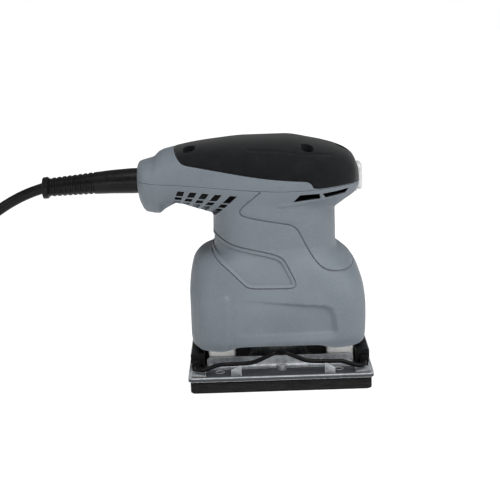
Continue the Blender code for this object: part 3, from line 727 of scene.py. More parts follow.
def make_shells():
    """The grey housing and cover, split at the seam, and the soft grip over the cover."""
    grid = Grid((-83.0, 0.0, 18.0), (57.0, 46.0, 143.0), SHELL_STEP)
    head = grid.head()
    body = smooth_union(grid.column(), head, BLEND)
    flanks = fade(6.0, 14.0, grid.out)
    outer = grid.mesh("housing_shell", body + flanks * flank_relief(grid))
    rough = Grid((-83.0, 0.0, 10.0), (57.0, 46.0, 143.0), 2 * SHELL_STEP)
    rough_body = smooth_union(rough.column(), rough.head(), BLEND)
    core_relief = fade(6.0, 14.0, rough.out) * flank_relief(rough)
    room = rough.mesh("room", rough_body + WALL + np.maximum(core_relief, 0))
    lines = fine_lines(rough.mesh("core", rough_body + core_relief + LINE_DEPTH))
    bottom = [*rounded_path(SKIRT_EDGE), (64.0, 0.0), (-62.0, 0.0)]
    cover = grid.mesh("cover_shell", head)
    combine(outer, [seam_side("below seam", -1)], "INTERSECT")
    combine(outer, [
        room, flank_prism("skirt edge", bottom), cord_hole("cord hole"),
        block("switch hole", *SWITCH_HOLE), *vent_cutters(), *lines,
    ])
    grip_grid = Grid((-62.0, 0.0, 110.0), (54.0, 36.5, 143.0), GRIP_STEP)
    grip_head = grip_grid.head()
    side = depth_inside(rounded_path(GRIP_EDGE, closed=True), *grip_grid.side_view())
    crease = path_distance(rounded_path(CREASE), *grip_grid.side_view())[:, None, :]
    grip_head = grip_head + 0.3 * np.exp(-(crease / 0.5) ** 2) * (grip_grid.out > 4.0)
    skin = smooth_common(grip_head - 0.15, -side[:, None, :] + 0.2, 1.2)
    grip = grip_grid.mesh("grip_skin", skin)
    coarse = Grid((-83.0, 0.0, 100.0), (57.0, 40.0, 143.0), 2 * GRIP_STEP)
    coarse_head = coarse.head()
    combine(grip, [coarse.mesh("grip underside", coarse_head + GRIP_THICK)])
    seat = flank_prism("grip seat", rounded_path(GRIP_EDGE, closed=True))
    floor_form = coarse.mesh("seat floor", coarse_head + GRIP_THICK + 0.3)
    skin_form = coarse.mesh("skin form", coarse_head - 0.1)
    combine(seat, [copy_of(floor_form)])
    combine(cover, [seam_side("above seam", 1)], "INTERSECT")
    combine(cover, [
        seat, coarse.mesh("cover room", coarse_head + WALL + GRIP_THICK),
        cord_hole("cover cord hole"), block("cover switch hole", *SWITCH_HOLE),
    ])
    for i, (x, y, floor, _) in enumerate(SCREWS):
        boss = disc(f"boss {i}", (x, y), RECESS_RADIUS + 2.4, "z", floor - 12.0, floor + 2.4, 32)
        combine(boss, [copy_of(floor_form)], "INTERSECT")
        combine(cover, [boss], "UNION")
        combine(cover, [
            disc(f"recess {i}", (x, y), RECESS_RADIUS + 1.0, "z", floor, FAR_UP, 40),
            disc(f"screw hole {i}", (x, y), 2.1, "z", 100.0, FAR_UP, 20),
        ])
        sleeve = disc(f"sleeve {i}", (x, y), RECESS_RADIUS + 0.8, "z", floor + 0.1, FAR_UP, 48)
        combine(sleeve, [copy_of(skin_form)], "INTERSECT")
        combine(grip, [sleeve], "UNION")
        combine(grip, [disc(f"grip recess {i}", (x, y), RECESS_RADIUS, "z", 110.0, FAR_UP, 48)])
    for form in (floor_form, skin_form):
        bpy.data.objects.remove(form)
    combine(cover, [seam_side("above seam again", 1)], "INTERSECT")
    combine(grip, [block("grip switch hole", *SWITCH_HOLE)])
    for thing, node, slot in ((outer, "main_housing", "housing_plastic"),
                              (cover, "top_cover", "housing_plastic"),
                              (grip, "soft_grip", "grip_rubber")):
        finish_piece(thing, "housing", slot, node)


def make_vent_shade_sheet():
    """A black sheet down the middle of the handle, put there as painted shade: it shows dark behind
    the vents where the handle's inside lies in shade.
    """
    outline = ((-62.0, 104.0), (-58.0, 103.6), (-46.0, 100.4), (-36.0, 97.6), (-24.0, 97.2),
               (-20.0, 99.0), (-20.0, 112.0), (-24.0, 113.4), (-40.0, 114.2), (-62.0, 110.4))
    for side in (-1, 1):
        ys = sorted((side * 6.0, side * 7.2))
        # painted shade: a dark sheet standing in for the shade inside the handle
        baffle = soften(side_prism(f"handle_baffle_{side + 2}", outline, *ys), 0.3, 2)
        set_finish(baffle, "black_plastic")
        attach(baffle, "housing")


make_shells()
make_vent_shade_sheet()


# ---------------------------------------------------------------- plate, pad and paper clamps

PLATE_X, PLATE_Y, PLATE_LOW = 105.8, 112.0, 7.3
TRAY_FLOOR, RIM_TOP, RIM_WIDE = 8.7, 9.6, 1.5
RIB_Y, RIB_THICK, RIB_TOP, RIB_END = 35.0, 1.2, 15.7, 42.4
PAD_X, PAD_Y, PAD_Z = 103.6, 110.0, 7.0
HINGE_X, HINGE_Z, WIRE_RADIUS, LEVER_Y = 48.5, 12.5, 1.15, -46.6
HUB_RADIUS, HUB_TOP, HUB_BORE = 17.0, 29.0, 13.3
MARKS = ((-35.0, 43.0, 9.05), (0.8, 40.6, 11.5), (33.5, 43.0, 9.05))  # x, y and top


def rounded_rect(half_x, half_y, radius, steps):
    ring = []
    for quarter, (sx, sy) in enumerate(((1, 1), (-1, 1), (-1, -1), (1, -1))):
        for i in range(steps + 1):
            angle = pi / 2 * (quarter + i / steps)
            ring.append((sx * (half_x - radius) + radius * cos(angle),
                         sy * (half_y - radius) + radius * sin(angle)))
    return ring


def loft(name, rings):
    """A closed skin through rings of equal length, capped at both ends."""
    count = len(rings[0])
    places = [place for ring in rings for place in ring]
    faces = [list(range(count))[::-1]]
    for k in range(len(rings) - 1):
        for i in range(count):
            j = (i + 1) % count
            faces.append([k * count + i, k * count + j, (k + 1) * count + j, (k + 1) * count + i])
    faces.append([(len(rings) - 1) * count + i for i in range(count)])
    return new_mesh(name, places, faces)


def rect_loft(name, rows, centre, axis, steps=6):
    """A skin through rounded rectangles: each row has a place along the axis, the rectangle's
    two half sizes and the radius of its corners."""
    rings = []
    for place, half_a, half_b, radius in rows:
        ring = [(a + centre[0], b + centre[1])
                for a, b in rounded_rect(half_a, half_b, radius, steps)]
        rings.append([(place, a, b) if axis == "x" else (a, b, place) for a, b in ring])
    return loft(name, rings)


def lathe(name, profile, centre, points, axis="z"):
    """A solid turned round an axis, from (radius, height) places, shut at both ends."""
    rings = []
    for radius, height in profile:
        turns = [2 * pi * i / points for i in range(points)]
        ring = [(radius * cos(turn), radius * sin(turn), height) for turn in turns]
        if axis == "x":
            ring = [(z, x, y) for x, y, z in ring]
        rings.append([[a + b for a, b in zip(spot, centre)] for spot in ring])
    thing = loft(name, rings)
    work = bmesh.new()
    work.from_mesh(thing.data)
    bmesh.ops.recalc_face_normals(work, faces=work.faces)
    work.to_mesh(thing.data)
    work.free()
    return thing


def make_plate():
    """The cast plate: a shallow tray with a rim, two long ribs, catches and a bearing hub."""
    plate = prism("cast_plate", rounded_rect(PLATE_X / 2, PLATE_Y / 2, 3.0, 6), "z",
                  PLATE_LOW, RIM_TOP)
    tray = prism("tray", rounded_rect(PLATE_X / 2 - RIM_WIDE, PLATE_Y / 2 - RIM_WIDE, 2.0, 6),
                 "z", TRAY_FLOOR, 20.0)
    combine(plate, [tray])
    parts = []
    for side in (-1, 1):
        ys = sorted((side * RIB_Y, side * (RIB_Y + RIB_THICK)))
        rib = [(-RIB_END, 8.0), (RIB_END, 8.0), (RIB_END, RIB_TOP - 1.4), (RIB_END - 1.6, RIB_TOP)]
        for x, dip in ((30.0, 0.0), (24.0, 0.25), (12.0, 0.1), (-9.0, 0.3), (-24.0, 0.1),
                       (-33.0, 0.2)):
            rib.append((x, RIB_TOP - dip))
        rib += [(-RIB_END + 1.6, RIB_TOP), (-RIB_END, RIB_TOP - 1.4)]
        parts.append(side_prism(f"rib {side}", rib, *ys))
        ys = sorted((side * (RIB_Y + 0.4), side * (RIB_Y + 3.4)))
        ledge = [(ys[0], 8.0), (ys[1], 8.0), (ys[1], 11.2), (ys[0], 11.2)]
        if side < 0:
            ledge = [(ys[0], 8.0), (ys[1], 8.0), (ys[1], 11.2), (ys[0] + 0.8, 11.2), (ys[0], 10.2)]
        parts.append(prism(f"ledge {side}", ledge, "x", -RIB_END + 1.0, RIB_END - 1.0))
        for end in (-1, 1):
            middle = 1.4 + end * 26.8
            outline = [(middle - end * 2.9, 8.0), (middle + end * 2.9, 8.0),
                       (middle + end * 2.9, 11.7), (middle - end * 1.6, 14.2),
                       (middle - end * 2.9, 14.2)]
            ys = sorted((side * 48.3, side * 50.0))
            parts.append(side_prism(f"catch {side} {end}", outline, *ys))
            brace = [(side * (RIB_Y - 4.6), 8.0), (side * (RIB_Y + 0.4), 8.0),
                     (side * (RIB_Y + 0.4), 13.0)]
            parts.append(prism(f"brace {side} {end}", brace, "x", end * 18.0 - 0.6,
                               end * 18.0 + 0.6))
        for x, y, top in MARKS:
            parts.append(disc(f"mark {side} {x}", (x, side * y), 2.7, "z", 8.0, top, 32))
    for end in (-1, 1):
        ring = [(end * 43.2, 8.0), (end * 52.0, 8.0), (end * 52.0, RIM_TOP), (end * 43.2, 9.15)]
        parts.append(side_prism(f"end strip {end}", ring, -50.0, 50.0))
    parts.append(disc("hub", (0, 0), HUB_RADIUS, "z", 8.0, HUB_TOP, 56))
    for angle in range(45, 360, 90):
        web = side_prism(f"web {angle}", [(16.0, 8.0), (28.0, 8.0), (16.0, 20.0)], -0.9, 0.9)
        web.data.transform(Matrix.Rotation(radians(angle), 4, "Z"))
        parts.append(web)
    for part in parts:
        combine(plate, [part], "UNION")
    dips = [disc(f"mark dip {x} {side}", (x, side * y), 2.0, "z", top - 0.2, 20.0, 32)
            for side in (-1, 1) for x, y, top in MARKS]
    combine(plate, [disc("bore", (0, 0), HUB_BORE, "z", 14.0, 40.0, 56), *dips])
    soften(plate, 0.22, 2)
    finish_piece(plate, "platen", "plate_metal", "base_plate", angle=0)


def make_pad():
    """The foam pad: sides that bulge a little, and a rounded lower edge."""
    rows = ((0.0, 1.0, 2.4), (0.15, 0.5, 2.8), (0.5, 0.12, 3.1), (1.6, 0.0, 3.2),
            (2.4, 0.16, 3.2), (2.9, 0.02, 3.2), (4.2, 0.0, 3.2), (4.65, 0.14, 3.2),
            (5.1, 0.0, 3.2), (6.3, 0.05, 3.2), (6.8, 0.25, 3.2), (PAD_Z, 0.7, 3.0))
    rows = [(z, PAD_X / 2 - inset, PAD_Y / 2 - inset, radius) for z, inset, radius in rows]
    pad = rect_loft("foam_pad", rows, (0.0, 0.0), "z", 8)
    finish_piece(pad, "platen", "pad_foam", "sanding_pad", angle=50)


def swept(name, route, radius, sides=16, step=0.8):
    """A round bar along a smooth curve."""
    places = catmull_rom(route, step)
    rings = []
    ahead = (places[1] - places[0]).normalized()
    side = ahead.orthogonal().normalized()
    for i, place in enumerate(places):
        after, before = places[min(i + 1, len(places) - 1)], places[max(i - 1, 0)]
        ahead = (after - before).normalized()
        side = (side - ahead * side.dot(ahead)).normalized()
        over = ahead.cross(side)
        size = radius * (0.7 if i in (0, len(places) - 1) else 1.0)
        rings.append([place + size * (cos(2 * pi * k / sides) * side
                                      + sin(2 * pi * k / sides) * over) for k in range(sides)])
    return loft(name, rings)


def make_clamp(end, name):
    """One paper clamp: a bracket with two ears, a sprung jaw with ridges, and its wire lever."""

    def outline(points):
        return [(end * x, z) for x, z in points]

    bracket = side_prism(f"{name}_bracket", outline((
        (44.6, 9.3), (50.8, 9.3), (50.8, 10.6), (44.6, 10.6))), -41.6, 41.6)
    for side in (-1, 1):
        ys = sorted((side * 39.5, side * 41.1))
        ear = side_prism(f"{name} ear {side}", outline((
            (46.0, 10.0), (50.6, 10.0), (51.4, 12.5), (50.4, 15.4), (46.8, 15.4))), *ys)
        combine(bracket, [ear], "UNION")
    combine(bracket, [disc(f"{name} ear holes", (HINGE_Z, end * HINGE_X), WIRE_RADIUS + 0.25,
                           "y", -50.0, 50.0, 28)])
    for y in (-30.0, 30.0):
        combine(bracket, [lathe(f"{name} rivet {y}", ((1.7, 10.2), (1.7, 10.9), (1.2, 11.4),
                                                      (0.5, 11.6)), (end * 47.8, y, 0), 20)],
                "UNION")
    finish_piece(soften(bracket, 0.2, 2), "platen", "black_steel", f"{name}_bracket", angle=0)
    jaw = side_prism(f"{name}_sprung_jaw", outline((
        (43.7, 10.4), (44.4, 10.5), (45.1, 11.4), (45.1, 16.9), (45.6, 17.4), (50.2, 17.4),
        (50.5, 17.0), (50.6, 13.5), (51.8, 13.4), (51.8, 18.1), (51.2, 18.7), (44.3, 18.7),
        (43.7, 18.1))), -38.6, 38.6)
    notches = [block(f"{name} notch {i}", (min(end * 50.0, end * 53.0), -36.2 + 5.2 * i, 12.0),
                     (max(end * 50.0, end * 53.0), -33.6 + 5.2 * i, 14.4)) for i in range(14)]
    combine(jaw, notches)
    for side in (-1, 1):
        ys = sorted((side * 37.6, side * 38.6))
        combine(jaw, [side_prism(f"{name} jaw end {side}", outline((
            (43.9, 12.6), (51.6, 12.6), (51.7, 18.5), (44.0, 18.5))), *ys)], "UNION")
    finish_piece(soften(jaw, 0.25, 2), name, "black_steel", f"{name}_jaw", angle=0)
    wire = [
        (48.5, 41.4, 12.5), (48.5, 30.0, 12.5), (48.5, 0.0, 12.5), (48.5, -30.0, 12.5),
        (48.5, -42.0, 12.5), (48.4, -44.2, 12.3), (47.9, -46.0, 12.1), (46.6, -47.4, 11.9),
        (44.8, -47.9, 11.9), (42.6, -47.6, 12.3), (39.4, -47.0, 13.2), (36.4, LEVER_Y, 14.1),
        (33.0, LEVER_Y, 14.5), (26.0, LEVER_Y, 14.6), (20.0, LEVER_Y, 14.8),
        (16.8, LEVER_Y, 15.1), (14.6, LEVER_Y, 15.6), (12.4, LEVER_Y, 16.4), (8.0, LEVER_Y, 18.4),
        (4.2, LEVER_Y, 20.1), (3.0, LEVER_Y, 20.5),
    ]
    lever = swept(f"{name}_wire", [(end * x, y, z) for x, y, z in wire], WIRE_RADIUS + 0.1)
    finish_piece(lever, name, "black_steel", f"{name}_lever", angle=50)


def make_legs():
    """Four nylon columns that let the plate orbit: each is a block on a narrow waist."""
    rows = [(z, half, half, 2.2) for z, half in (
        (9.35, 7.3), (9.8, 7.7), (18.2, 7.8), (18.9, 7.6), (20.4, 6.5), (24.0, 6.4),
        (25.4, 7.4), (29.6, 7.6), (30.1, 7.3))]
    for x, end in ((-33.7, "rear"), (35.3, "front")):
        for y, side in ((-26.0, "left"), (26.0, "right")):
            leg = rect_loft(f"{end}_{side}_column", rows, (x, y), "z")
            finish_piece(leg, "housing", "white_nylon", f"{end}_{side}_leg", angle=40)


make_plate()
make_pad()
make_clamp(1, "front_clamp")
make_clamp(-1, "rear_clamp")
make_legs()


# ---------------------------------------------------------------- screws, switch and supply

ROCKER_LINE = ((44.95, 114.6), (46.9, 107.6), (48.3, 107.5), (49.4, 108.7), (49.1, 110.8),
               (48.4, 114.6), (47.7, 118.5), (47.3, 121.4), (44.95, 121.4))


def make_screws():
    """Pan-head screws with a cross recess, down in the five holes of the cover."""
    for i, (x, y, floor, length) in enumerate(SCREWS, 1):
        low = floor - length
        profile = [(0.4, low + 0.3), (1.0, low + 1.4)] if length > 5 else [(1.3, low + 0.3)]
        height = low + 1.8
        while height < floor - 0.8 and length > 5:
            profile += [(1.05, height), (1.5, height + 0.35), (1.05, height + 0.7)]
            height += 0.9
        profile += [(1.4, floor + 0.25), (2.9, floor + 0.3), (3.0, floor + 0.9),
                    (2.8, floor + 1.6), (2.2, floor + 2.1), (1.2, floor + 2.35)]
        screw = lathe(f"cross_screw_{i}", profile, (x, y, 0.0), 32)
        deep = floor + 0.9
        cross = block(f"cross {i}", (x - 1.7, y - 0.4, deep), (x + 1.7, y + 0.4, floor + 4))
        other = block(f"cross b {i}", (x - 0.4, y - 1.7, deep), (x + 0.4, y + 1.7, floor + 4))
        combine(screw, [cross, other])
        finish_piece(screw, "housing", "screw_steel", f"cover_screw_{i}")


def make_switch():
    """The rocker and the ribbed dust boot over it."""
    rocker = side_prism("rocker_key", ROCKER_LINE, -4.6, 4.6)
    for i in range(4):
        combine(rocker, [block(f"key groove {i}", (47.9, -3.4, 109.0 + 0.9 * i),
                               (51.0, 3.4, 109.4 + 0.9 * i))])
    finish_piece(soften(rocker, 0.35, 3), "rocker", "black_plastic", "switch_rocker", angle=0)
    rows = ((46.7, 7.4, 8.6, 2.2), (47.2, 7.6, 8.8, 2.4), (48.2, 7.6, 8.8, 2.4),
            (48.6, 7.2, 8.2, 2.4), (49.0, 7.2, 7.8, 2.4), (49.4, 7.3, 7.9, 2.6),
            (50.8, 7.2, 7.8, 2.8), (51.4, 6.9, 7.4, 3.0), (51.9, 6.0, 6.6, 3.2),
            (52.1, 4.6, 5.4, 3.0))
    middle = (0.0, 114.1)
    boot = rect_loft("dust_boot", rows, middle, "x")
    room = [(x - 0.6, half_y - 0.6, half_z - 0.5, radius) for x, half_y, half_z, radius in rows]
    combine(boot, [rect_loft("boot room", [(45.0, *room[0][1:]), *room], middle, "x")])
    finish_piece(boot, "housing", "clear_silicone", "switch_boot", angle=50)


def make_cord_boot():
    """The bend-relief boot: a smooth cone with fine ribs near its tip, and a collar."""
    rings = []
    profile = [(-70.0, 7.4, CORD_Z), (-70.2, 8.3, CORD_Z), (-73.4, 8.3, CORD_Z),
               (-73.9, 7.5, CORD_Z), (-84.0, 7.5, CORD_Z), (-96.0, 7.0, 114.8),
               (-104.0, 6.6, 114.4)]
    x = -106.0
    while x > -131.0:
        share = (x + 106.0) / -25.0
        radius = 6.5 - 0.95 * share
        height = 114.35 - 1.6 * share
        profile += [(x, radius, height), (x - 0.35, radius - 0.45, height - 0.02),
                    (x - 1.25, radius - 0.45, height - 0.08), (x - 1.6, radius, height - 0.1)]
        x -= 3.1
    profile += [(-133.0, 5.35, 112.55), (-133.4, 6.2, 112.5), (-133.8, 6.5, 112.5),
                (-136.2, 6.45, 112.3), (-136.7, 6.1, 112.3), (-136.9, 5.2, 112.2),
                (-136.6, 3.5, 112.2)]
    for x, radius, height in profile:
        rings.append([(x, radius * cos(2 * pi * i / 48), height + radius * sin(2 * pi * i / 48))
                      for i in range(48)])
    boot = loft("bend_relief", rings[::-1])
    finish_piece(boot, "housing", "cord_rubber", "cord_boot", angle=40)


def make_plug():
    """A moulded two-pin plug on the floor beside the coil, its grip scalloped."""
    rows = ((-240.8, 3.6, 3.6, 3.4), (-238.0, 4.3, 4.3, 4.0), (-236.9, 5.0, 4.8, 4.2),
            (-235.9, 4.4, 4.3, 4.0), (-234.9, 5.2, 4.8, 4.2), (-233.9, 4.6, 4.4, 4.0),
            (-232.6, 5.9, 5.0, 4.0), (-228.0, 8.5, 5.9, 4.6), (-222.0, 11.4, 6.7, 5.0),
            (-216.0, 12.6, 7.0, 5.2), (-211.0, 12.5, 7.0, 5.2), (-207.6, 12.9, 7.15, 5.2),
            (-204.4, 13.0, 7.2, 5.2), (-203.4, 12.6, 6.9, 4.9), (-203.05, 11.6, 5.9, 4.2))
    body = rect_loft("plug_grip", rows, (-46.0, 7.5), "x", 8)
    finish_piece(body, "housing", "black_plastic", "plug_body", angle=40)
    for y, name in ((-55.5, "left"), (-36.5, "right")):
        pin = lathe(f"pin_{name}", ((2.3, -202.7), (2.3, -186.2), (2.1, -185.0), (1.5, -184.3),
                                    (0.7, -184.0)), (0.0, y, 7.5), 32, axis="x")
        finish_piece(pin, "housing", "brass_parts", f"plug_pin_{name}")


def make_tie():
    """A hook-and-loop strap round the coil, its end lapped over."""
    low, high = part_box("coil_tie")
    middle = ((low.y + high.y) / 2 / MM, (low.z + high.z) / 2 / MM)
    half_y, half_z = (high.y - low.y) / 2 / MM, (high.z - low.z) / 2 / MM
    rows = [(x, half_y - 0.05 - inset, half_z - 0.05 - inset, 3.4) for x, inset in (
        (-280.9, 0.25), (-280.6, 0.05), (-277.0, 0.0), (-273.4, 0.05), (-273.1, 0.25))]
    strap = rect_loft("coil_strap", rows, middle, "x", 8)
    room = [(x, half_y - 1.05, half_z - 1.05, 2.6) for x in (-285.0, -270.0)]
    combine(strap, [rect_loft("strap room", room, middle, "x", 8)])
    finish_piece(strap, "housing", "black_plastic", "coil_tie", angle=40)


make_screws()
make_switch()
make_cord_boot()
make_plug()
make_tie()


# ---------------------------------------------------------------- materials


class Finish:
    """A node material that grows step by step; its lengths are in millimetres."""

    def __init__(self, name, roughness=0.5, **sockets):
        self.material = bpy.data.materials.new(name)
        self.material.use_nodes = True
        self.tree = self.material.node_tree
        self.shader = self.tree.nodes["Principled BSDF"]
        self.place = self.node("ShaderNodeTexCoord").outputs["Object"]
        self.set(Roughness=roughness)
        for key, value in sockets.items():
            self.set(**{key.replace("_", " "): value})
        self.bump = None

    def node(self, kind, **settings):
        made = self.tree.nodes.new(kind)
        for key, value in settings.items():
            setattr(made, key, value)
        return made

    def set(self, **sockets):
        for key, value in sockets.items():
            self.shader.inputs[key].default_value = value

    def link(self, a, b):
        self.tree.links.new(a, b)

    def noise(self, size, detail=3.0, rough=0.5, stretch=(1, 1, 1)):
        """Noise whose blobs are about the size given, longer along a stretched axis."""
        mapping = self.node("ShaderNodeMapping")
        mapping.inputs["Scale"].default_value = tuple(1 / (size * MM * s) for s in stretch)
        self.link(self.place, mapping.inputs["Vector"])
        noise = self.node("ShaderNodeTexNoise")
        noise.inputs["Scale"].default_value = 1.0
        noise.inputs["Detail"].default_value = detail
        noise.inputs["Roughness"].default_value = rough
        self.link(mapping.outputs["Vector"], noise.inputs["Vector"])
        return noise.outputs["Fac"]

    def span(self, value, low, high, out_low, out_high):
        change = self.node("ShaderNodeMapRange")
        for i, number in zip((1, 2, 3, 4), (low, high, out_low, out_high)):
            change.inputs[i].default_value = number
        self.link(value, change.inputs["Value"])
        return change.outputs["Result"]

    def mix(self, share, a, b):
        """A colour between two, each of them a colour or another node's output."""
        blend = self.node("ShaderNodeMix", data_type="RGBA")
        self.link(share, blend.inputs["Factor"])
        for key, colour in ((6, a), (7, b)):
            if isinstance(colour, tuple):
                blend.inputs[key].default_value = (*colour, 1.0)
            else:
                self.link(colour, blend.inputs[key])
        return blend.outputs[2]

    def colour(self, output):
        self.link(output, self.shader.inputs["Base Color"])

    def rough(self, share, low, high, start=0.3, end=0.7):
        self.link(self.span(share, start, end, low, high), self.shader.inputs["Roughness"])

    def height(self, share, depth, strength=1.0):
        """Adds a bump as deep as given, in millimetres, over the ones before it."""
        bump = self.node("ShaderNodeBump")
        bump.inputs["Strength"].default_value = strength
        bump.inputs["Distance"].default_value = depth * MM
        self.link(share, bump.inputs["Height"])
        if self.bump:
            self.link(self.bump, bump.inputs["Normal"])
        self.bump = bump.outputs["Normal"]
        self.link(self.bump, self.shader.inputs["Normal"])

    def edges(self, radius=0.45, start=0.985, end=0.86):
        """How near each place is to an edge, from how far a rounded normal leans there."""
        shape, lean = self.node("ShaderNodeNewGeometry"), self.node("ShaderNodeBevel", samples=4)
        lean.inputs["Radius"].default_value = radius * MM
        dot = self.node("ShaderNodeVectorMath", operation="DOT_PRODUCT")
        self.link(lean.outputs["Normal"], dot.inputs[0])
        self.link(shape.outputs["Normal"], dot.inputs[1])
        return self.span(dot.outputs["Value"], start, end, 0.0, 1.0)


def moulded(name, colour, second, *, patch=16.0, grain=0.45, depth=0.03, rough=(0.45, 0.6),
            dust=0.0, worn=None, speck=0.0, **sockets):
    """Plastic or rubber: two near tones in soft patches, a fine grain, and paler worn edges."""
    made = Finish(name, **sockets)
    cloud = made.noise(patch, 4.0, 0.55)
    tone = made.mix(made.span(cloud, 0.35, 0.65, 0.0, 1.0), colour, second)
    fine = made.noise(grain, 2.0, 0.6)
    if speck:
        pale = tuple(min(1.0, c * (1 + speck) + 0.004 * speck) for c in colour)
        tone = made.mix(made.span(fine, 0.52, 0.72, 0.0, 1.0), tone, pale)
    if dust:
        veil = made.noise(7.0, 6.0, 0.7)
        tone = made.mix(made.span(veil, 0.52, 0.78, 0.0, dust), tone, (0.45, 0.44, 0.42))
    if worn:
        tone = made.mix(made.edges(), tone, worn)
    made.colour(tone)
    made.rough(made.noise(patch * 0.6, 3.0, 0.5), *rough)
    made.height(fine, depth)
    return made.material


def metal(name, colour, second, *, patch=5.0, streak=(1, 1, 1), fine=0.5, depth=0.015,
          rough=(0.28, 0.5), edge_wear_and_highlight=None, stain=None, metallic=1.0, specular=0.5,
          low_shade=None):
    """Metal: mottled tone, fine marks, edges painted lighter for wear and as painted highlight,
    stains where it is given them, and painted shade low down where it is given it.
    """
    made = Finish(name, Metallic=metallic, Specular_IOR_Level=specular)
    cloud = made.noise(patch, 5.0, 0.6, streak)
    tone = made.mix(made.span(cloud, 0.35, 0.68, 0.0, 1.0), colour, second)
    # painted shade: the tone is darkened below the given height, standing in for the shade on the
    # tray floor
    if low_shade:
        height = made.node("ShaderNodeSeparateXYZ")
        made.link(made.place, height.inputs[0])
        low, high = (level * MM for level in low_shade[0])
        tone = made.mix(made.span(height.outputs["Z"], low, high, 1.0, 0.0), tone, low_shade[1])
    if stain:
        tone = made.mix(made.span(made.noise(2.6, 6.0, 0.7), 0.56, 0.72, 0.0, 0.8), tone, stain)
    # edges painted lighter: part wear, part painted highlight standing in for the light caught
    # along edges
    if edge_wear_and_highlight:
        tone = made.mix(made.edges(), tone, edge_wear_and_highlight)
    made.colour(tone)
    marks = made.noise(fine, 4.0, 0.6, streak)
    made.rough(marks, *rough)
    made.height(marks, depth)
    return made.material


def foam_finish():
    """Closed-cell foam: near black, open pores and long drawn streaks round its sides."""
    made = Finish("pad_foam", Specular_IOR_Level=0.08)
    streaks = made.noise(0.9, 4.0, 0.6, (9.0, 9.0, 0.55))
    tone = made.mix(made.span(streaks, 0.35, 0.7, 0.0, 1.0), (0.006, 0.006, 0.0065),
                    (0.022, 0.021, 0.021))
    pores = made.node("ShaderNodeTexVoronoi")
    pores.inputs["Scale"].default_value = 1 / (0.75 * MM)
    made.link(made.place, pores.inputs["Vector"])
    open_cell = made.span(pores.outputs["Distance"], 0.15, 0.45, 0.0, 1.0)
    tone = made.mix(open_cell, (0.006, 0.006, 0.006), tone)
    made.colour(made.mix(made.edges(0.6), tone, (0.028, 0.026, 0.0255)))
    made.rough(streaks, 0.75, 0.95)
    made.height(open_cell, 0.12, 0.6)
    made.height(streaks, 0.10, 0.7)
    return made.material


def winding_finish(name, colour, second, turn):
    """Enamelled wire in even turns one above the other."""
    made = Finish(name, roughness=0.3, Metallic=0.7)
    wave = made.node("ShaderNodeTexWave", bands_direction="Z", wave_profile="SIN")
    wave.inputs["Scale"].default_value = 0.5 / (turn * MM) * 0.314
    wave.inputs["Distortion"].default_value = 0.6
    wave.inputs["Detail"].default_value = 2.0
    made.link(made.place, wave.inputs["Vector"])
    made.colour(made.mix(wave.outputs["Fac"], colour, second))
    made.height(wave.outputs["Fac"], 0.2)
    made.rough(made.noise(1.5), 0.25, 0.45)
    return made.material


def clear_finish():
    """Milky silicone that lets some light through."""
    made = Finish("clear_silicone", roughness=0.35, IOR=1.41, Transmission_Weight=0.45)
    cloud = made.noise(5.0, 4.0, 0.6)
    tone = made.mix(made.span(cloud, 0.3, 0.7, 0.0, 1.0), (0.80, 0.81, 0.80), (0.66, 0.68, 0.68))
    made.colour(made.mix(made.edges(0.6), tone, (0.93, 0.93, 0.92)))
    made.rough(made.noise(2.0), 0.28, 0.45)
    made.height(made.noise(0.5), 0.01)
    return made.material


def lead_finish(name, colour, second):
    """A glossy moulded skin with faint long marks."""
    made = Finish(name, roughness=0.3, Coat_Weight=0.03, Coat_Roughness=0.12,
                  Specular_IOR_Level=0.12)
    made.colour(made.mix(made.span(made.noise(8.0, 4.0), 0.35, 0.65, 0.0, 1.0), colour, second))
    made.rough(made.noise(3.0, 4.0), 0.22, 0.4)
    made.height(made.noise(0.7, 3.0), 0.012)
    return made.material


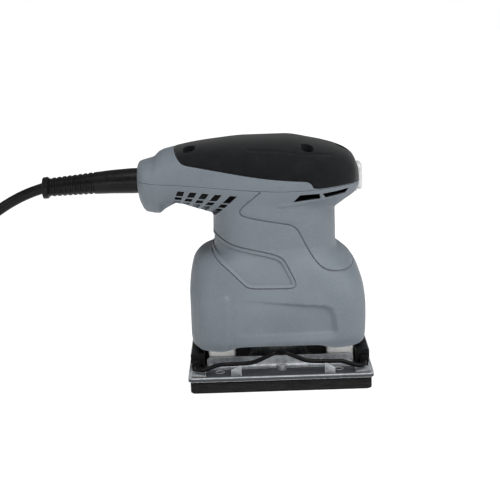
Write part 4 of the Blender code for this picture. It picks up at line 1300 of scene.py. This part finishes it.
FINISHES = {
    "housing_plastic": moulded(
        "housing_plastic", (0.120, 0.140, 0.158), (0.106, 0.124, 0.142), patch=22.0, grain=0.6,
        depth=0.07, rough=(0.50, 0.64), dust=0.02, worn=(0.19, 0.212, 0.235), speck=0.16,
        Specular_IOR_Level=0.4),
    "grip_rubber": moulded(
        "grip_rubber", (0.0040, 0.0044, 0.0052), (0.0062, 0.0066, 0.0074), patch=14.0, grain=0.55,
        depth=0.09, rough=(0.55, 0.72), dust=0.006, worn=(0.011, 0.0115, 0.013), speck=0.8,
        Specular_IOR_Level=0.03, Sheen_Weight=0.16, Sheen_Roughness=0.45),
    "screw_steel": metal("screw_steel", (0.02, 0.02, 0.021), (0.010, 0.010, 0.011),
                         edge_wear_and_highlight=(0.06, 0.06, 0.062), rough=(0.3, 0.5)),
    "motor_steel": metal("motor_steel", (0.44, 0.44, 0.45), (0.32, 0.32, 0.33), patch=4.0,
                         streak=(1, 1, 0.15), edge_wear_and_highlight=(0.6, 0.6, 0.6), stain=(0.20, 0.15, 0.12)),
    "bearing_steel": metal("bearing_steel", (0.62, 0.62, 0.63), (0.5, 0.5, 0.51), patch=3.0,
                           streak=(1, 1, 0.2), rough=(0.12, 0.26), edge_wear_and_highlight=(0.8, 0.8, 0.8)),
    "copper_winding": winding_finish("copper_winding", (0.36, 0.13, 0.055), (0.62, 0.27, 0.12),
                                     0.5),
    "brass_parts": metal("brass_parts", (0.72, 0.52, 0.24), (0.60, 0.42, 0.18), patch=4.0,
                         rough=(0.2, 0.38), edge_wear_and_highlight=(0.85, 0.68, 0.38)),
    "carbon": moulded("carbon", (0.02, 0.02, 0.021), (0.035, 0.035, 0.036), patch=2.0,
                      grain=0.25, depth=0.02, rough=(0.4, 0.6)),
    "black_plastic": moulded("black_plastic", (0.008, 0.008, 0.0085), (0.013, 0.013, 0.0135),
                             patch=9.0, grain=0.4, depth=0.03, rough=(0.35, 0.5),
                             worn=(0.03, 0.03, 0.031), Specular_IOR_Level=0.2),
    "clear_silicone": clear_finish(),
    "white_nylon": moulded("white_nylon", (0.92, 0.92, 0.90), (0.86, 0.855, 0.83), patch=6.0,
                           grain=0.5, depth=0.02, rough=(0.32, 0.46), dust=0.15,
                           worn=(0.90, 0.90, 0.88), Subsurface_Weight=0.15,
                           Subsurface_Radius=(0.002, 0.0018, 0.0015)),
    "cord_rubber": lead_finish("cord_rubber", (0.003, 0.003, 0.0035), (0.006, 0.006, 0.0065)),
    "wire_insulation": lead_finish("wire_insulation", (0.08, 0.15, 0.36), (0.06, 0.12, 0.30)),
    "plate_metal": metal("plate_metal", (0.42, 0.44, 0.46), (0.22, 0.235, 0.25), patch=3.2,
                         # lighter edges: part wear, part painted highlight on the rim
                         fine=0.45, depth=0.08, rough=(0.42, 0.65), edge_wear_and_highlight=(0.72, 0.73, 0.72),
                         metallic=0.55, specular=0.4,
                         stain=(0.06, 0.065, 0.07),
                         # painted shade on the tray floor, below the rim
                         low_shade=((8.9, 9.4), (0.045, 0.050, 0.055))),
    "pad_foam": foam_finish(),
    "black_steel": metal("black_steel", (0.006, 0.006, 0.0065), (0.0035, 0.0035, 0.004), patch=6.0,
                         fine=0.6, depth=0.012, rough=(0.2, 0.36), edge_wear_and_highlight=(0.02, 0.02, 0.021),
                         metallic=0.0, specular=0.06),
}
KEPT_NODES = {
    "motor_steel": ("armature_core", "armature_shaft", "counterweight", "stator_core"),
    "copper_winding": ("armature_winding_lower", "armature_winding_upper", "field_coil_front",
                       "field_coil_rear"),
    "bearing_steel": ("lower_bearing", "upper_bearing", "eccentric_bearing"),
    "brass_parts": ("commutator", "brush_holder_left", "brush_holder_right"),
    "carbon": ("carbon_brush_left", "carbon_brush_right"),
    "black_plastic": ("cooling_fan", "fan_baffle", "switch_body", "upper_bearing_holder",
                      "bearing_bridge", "cord_clamp"),
    "screw_steel": ("cord_clamp_screw_left", "cord_clamp_screw_right"),
    "cord_rubber": ("cord_inner_end",),
    "wire_insulation": ("lead_left", "lead_right"),
}


def dress(thing, slot):
    thing.data.materials.clear()
    thing.data.materials.append(FINISHES[slot])


for slot, names in KEPT_NODES.items():
    for name in names:
        dress(frame["nodes"][name], slot)
        smooth_shade(frame["nodes"][name])
for thing in bpy.data.objects:
    slot = thing.get("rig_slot")
    if slot and thing.name not in frame["nodes"] and thing.type in ("MESH", "CURVE"):
        dress(thing, slot)
